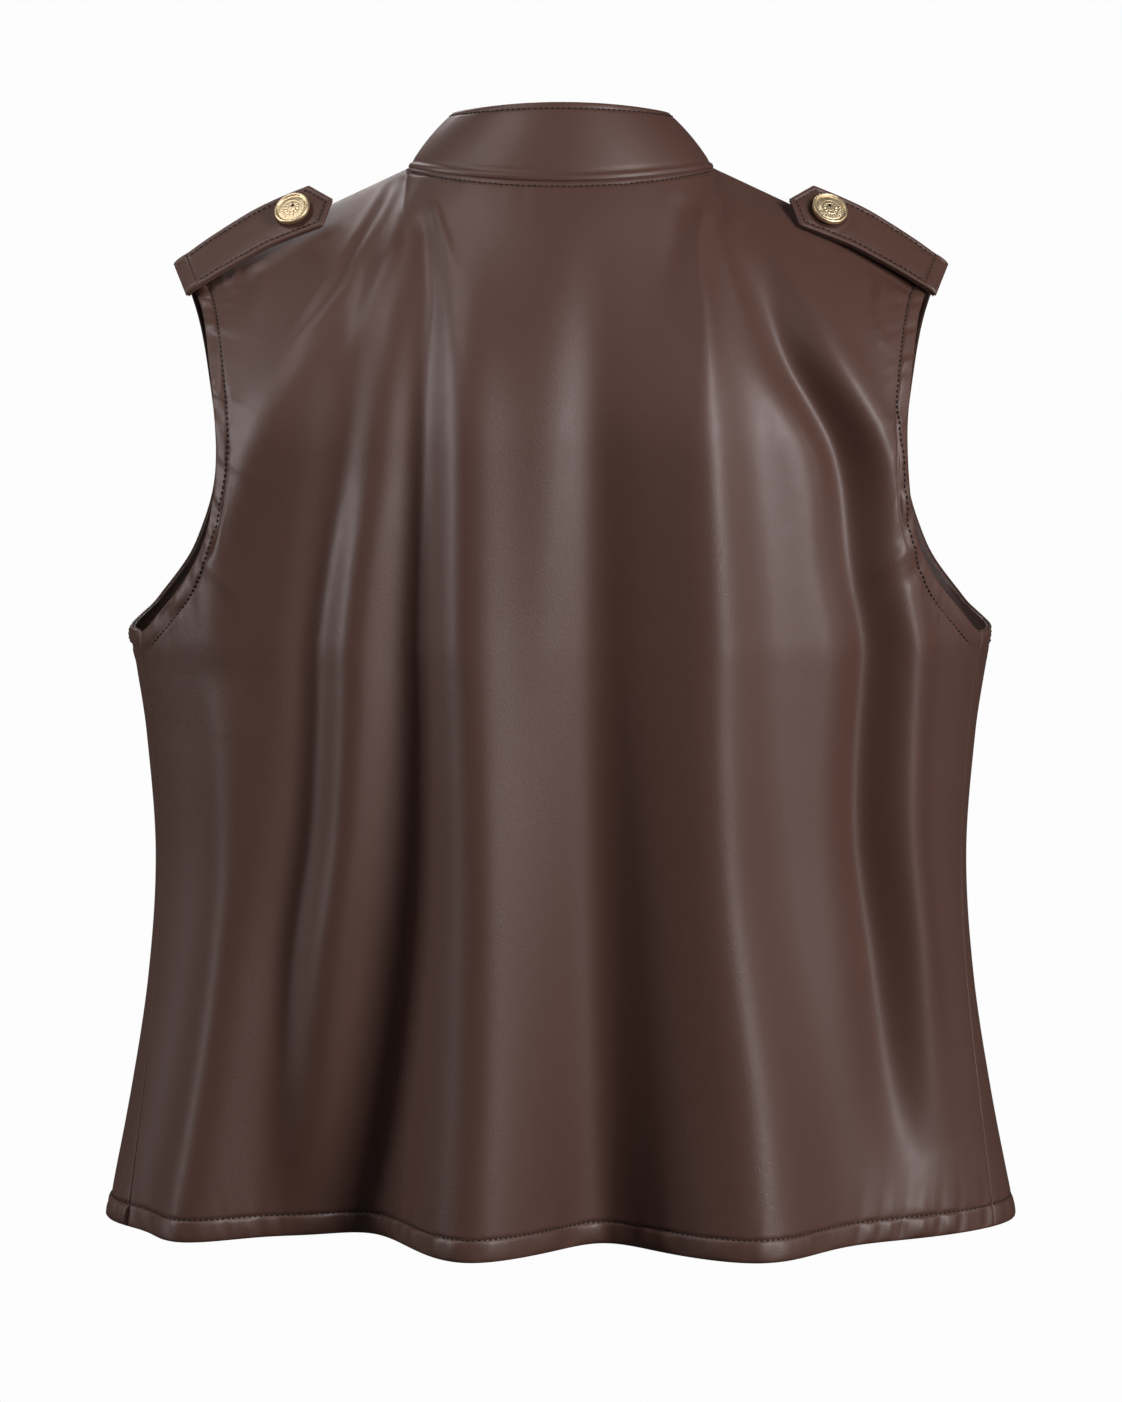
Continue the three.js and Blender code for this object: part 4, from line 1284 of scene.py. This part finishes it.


# Staging

SENSOR = 36
PHOTO_HEIGHT = 1402          # in pixels
PHOTO_FOCAL = 4444.44        # focal length, in the photo's pixels
CAMERA_PLACE = (0, 2.38895, -0.05582)
CAMERA_AIM = (0, 0, -0.28585)
LAMP_COLOUR = (1, 0.955, 0.965)
MIDDLE = (0, 0, -0.27)
LAMPS = (                    # name, place, aim, width, height and power
    ("key", (-1.8, 1.8, 0.55), MIDDLE, 0.9, 2.0, 64),
    ("side", (2.3, 0.32, 0.35), MIDDLE, 0.7, 1.4, 24),
    ("far_side", (-2.3, 0.1, 0.35), MIDDLE, 0.6, 1.2, 4),
    ("soft", (0.35, 2.9, 0.5), MIDDLE, 1.6, 1.2, 2),
    ("top", (0.8, 0.6, 0.95), (0.1, 0.05, -0.15), 0.6, 0.6, 4.5),
    ("front", (0.6, -2.0, 1.5), MIDDLE, 1.4, 1.0, 24),
)
SKY = 0.04
ROOM = 9000                  # half the width of the white room, in millimetres
FLOOR_Z = -950
ROOM_WHITE = 0.98


def put(name, data, place_at, aim_at):
    """A camera or a light at a place, turned towards another."""
    made = bpy.data.objects.new(name, data)
    made.location = place_at
    made.rotation_mode = "QUATERNION"
    made.rotation_quaternion = (Vector(aim_at) - Vector(place_at)).to_track_quat("-Z", "Y")
    bpy.context.scene.collection.objects.link(made)
    return made


def make_camera():
    data = bpy.data.cameras.new("camera")
    data.lens = SENSOR * PHOTO_FOCAL / PHOTO_HEIGHT
    data.sensor_width = SENSOR
    data.clip_start = 0.05
    data.clip_end = 60
    bpy.context.scene.camera = put("camera", data, CAMERA_PLACE, CAMERA_AIM)


def make_lamps():
    for name, place_at, aim_at, width, height, power in LAMPS:
        data = bpy.data.lights.new(name, "AREA")
        data.shape = "RECTANGLE"
        data.size = width
        data.size_y = height
        data.energy = power
        data.color = LAMP_COLOUR
        put(name, data, place_at, aim_at)


def make_room():
    """A plain white room round the vest, which lights nothing and casts no shadow."""
    white = bpy.data.materials.new("pale_floor")
    white.use_nodes = True
    tree = white.node_tree
    tree.nodes.clear()
    glow = tree.nodes.new("ShaderNodeEmission")
    glow.inputs["Color"].default_value = (ROOM_WHITE, ROOM_WHITE, ROOM_WHITE, 1)
    out = tree.nodes.new("ShaderNodeOutputMaterial")
    tree.links.new(glow.outputs["Emission"], out.inputs["Surface"])
    corners = [(x * ROOM, y * ROOM, FLOOR_Z) for x, y in ((-1, -1), (1, -1), (1, 1), (-1, 1))]
    tall = [(x, y, z + 2 * ROOM) for x, y, z in corners]
    walls = [(k, (k + 1) % 4, 4 + (k + 1) % 4, 4 + k) for k in range(4)]
    floor = add_mesh("floor", corners + tall, [(0, 1, 2, 3), (4, 5, 6, 7)] + walls, (white,))
    floor.visible_diffuse = False
    floor.visible_glossy = False
    floor.visible_shadow = False


def make_stage():
    scene = bpy.context.scene
    scene.view_settings.view_transform = "Standard"
    scene.world = bpy.data.worlds.new("world")
    scene.world.use_nodes = True
    background = scene.world.node_tree.nodes["Background"]
    background.inputs["Color"].default_value = (1, 1, 1, 1)
    background.inputs["Strength"].default_value = SKY
    make_room()
    make_lamps()


make_camera()
make_back()
for side in (1, -1):
    make_front(side)
    for back in (True, False):
        make_facing(back, side)
make_collar()
for side in (1, -1):
    make_strap(side)
make_buttons()
make_stitches()
make_stage()
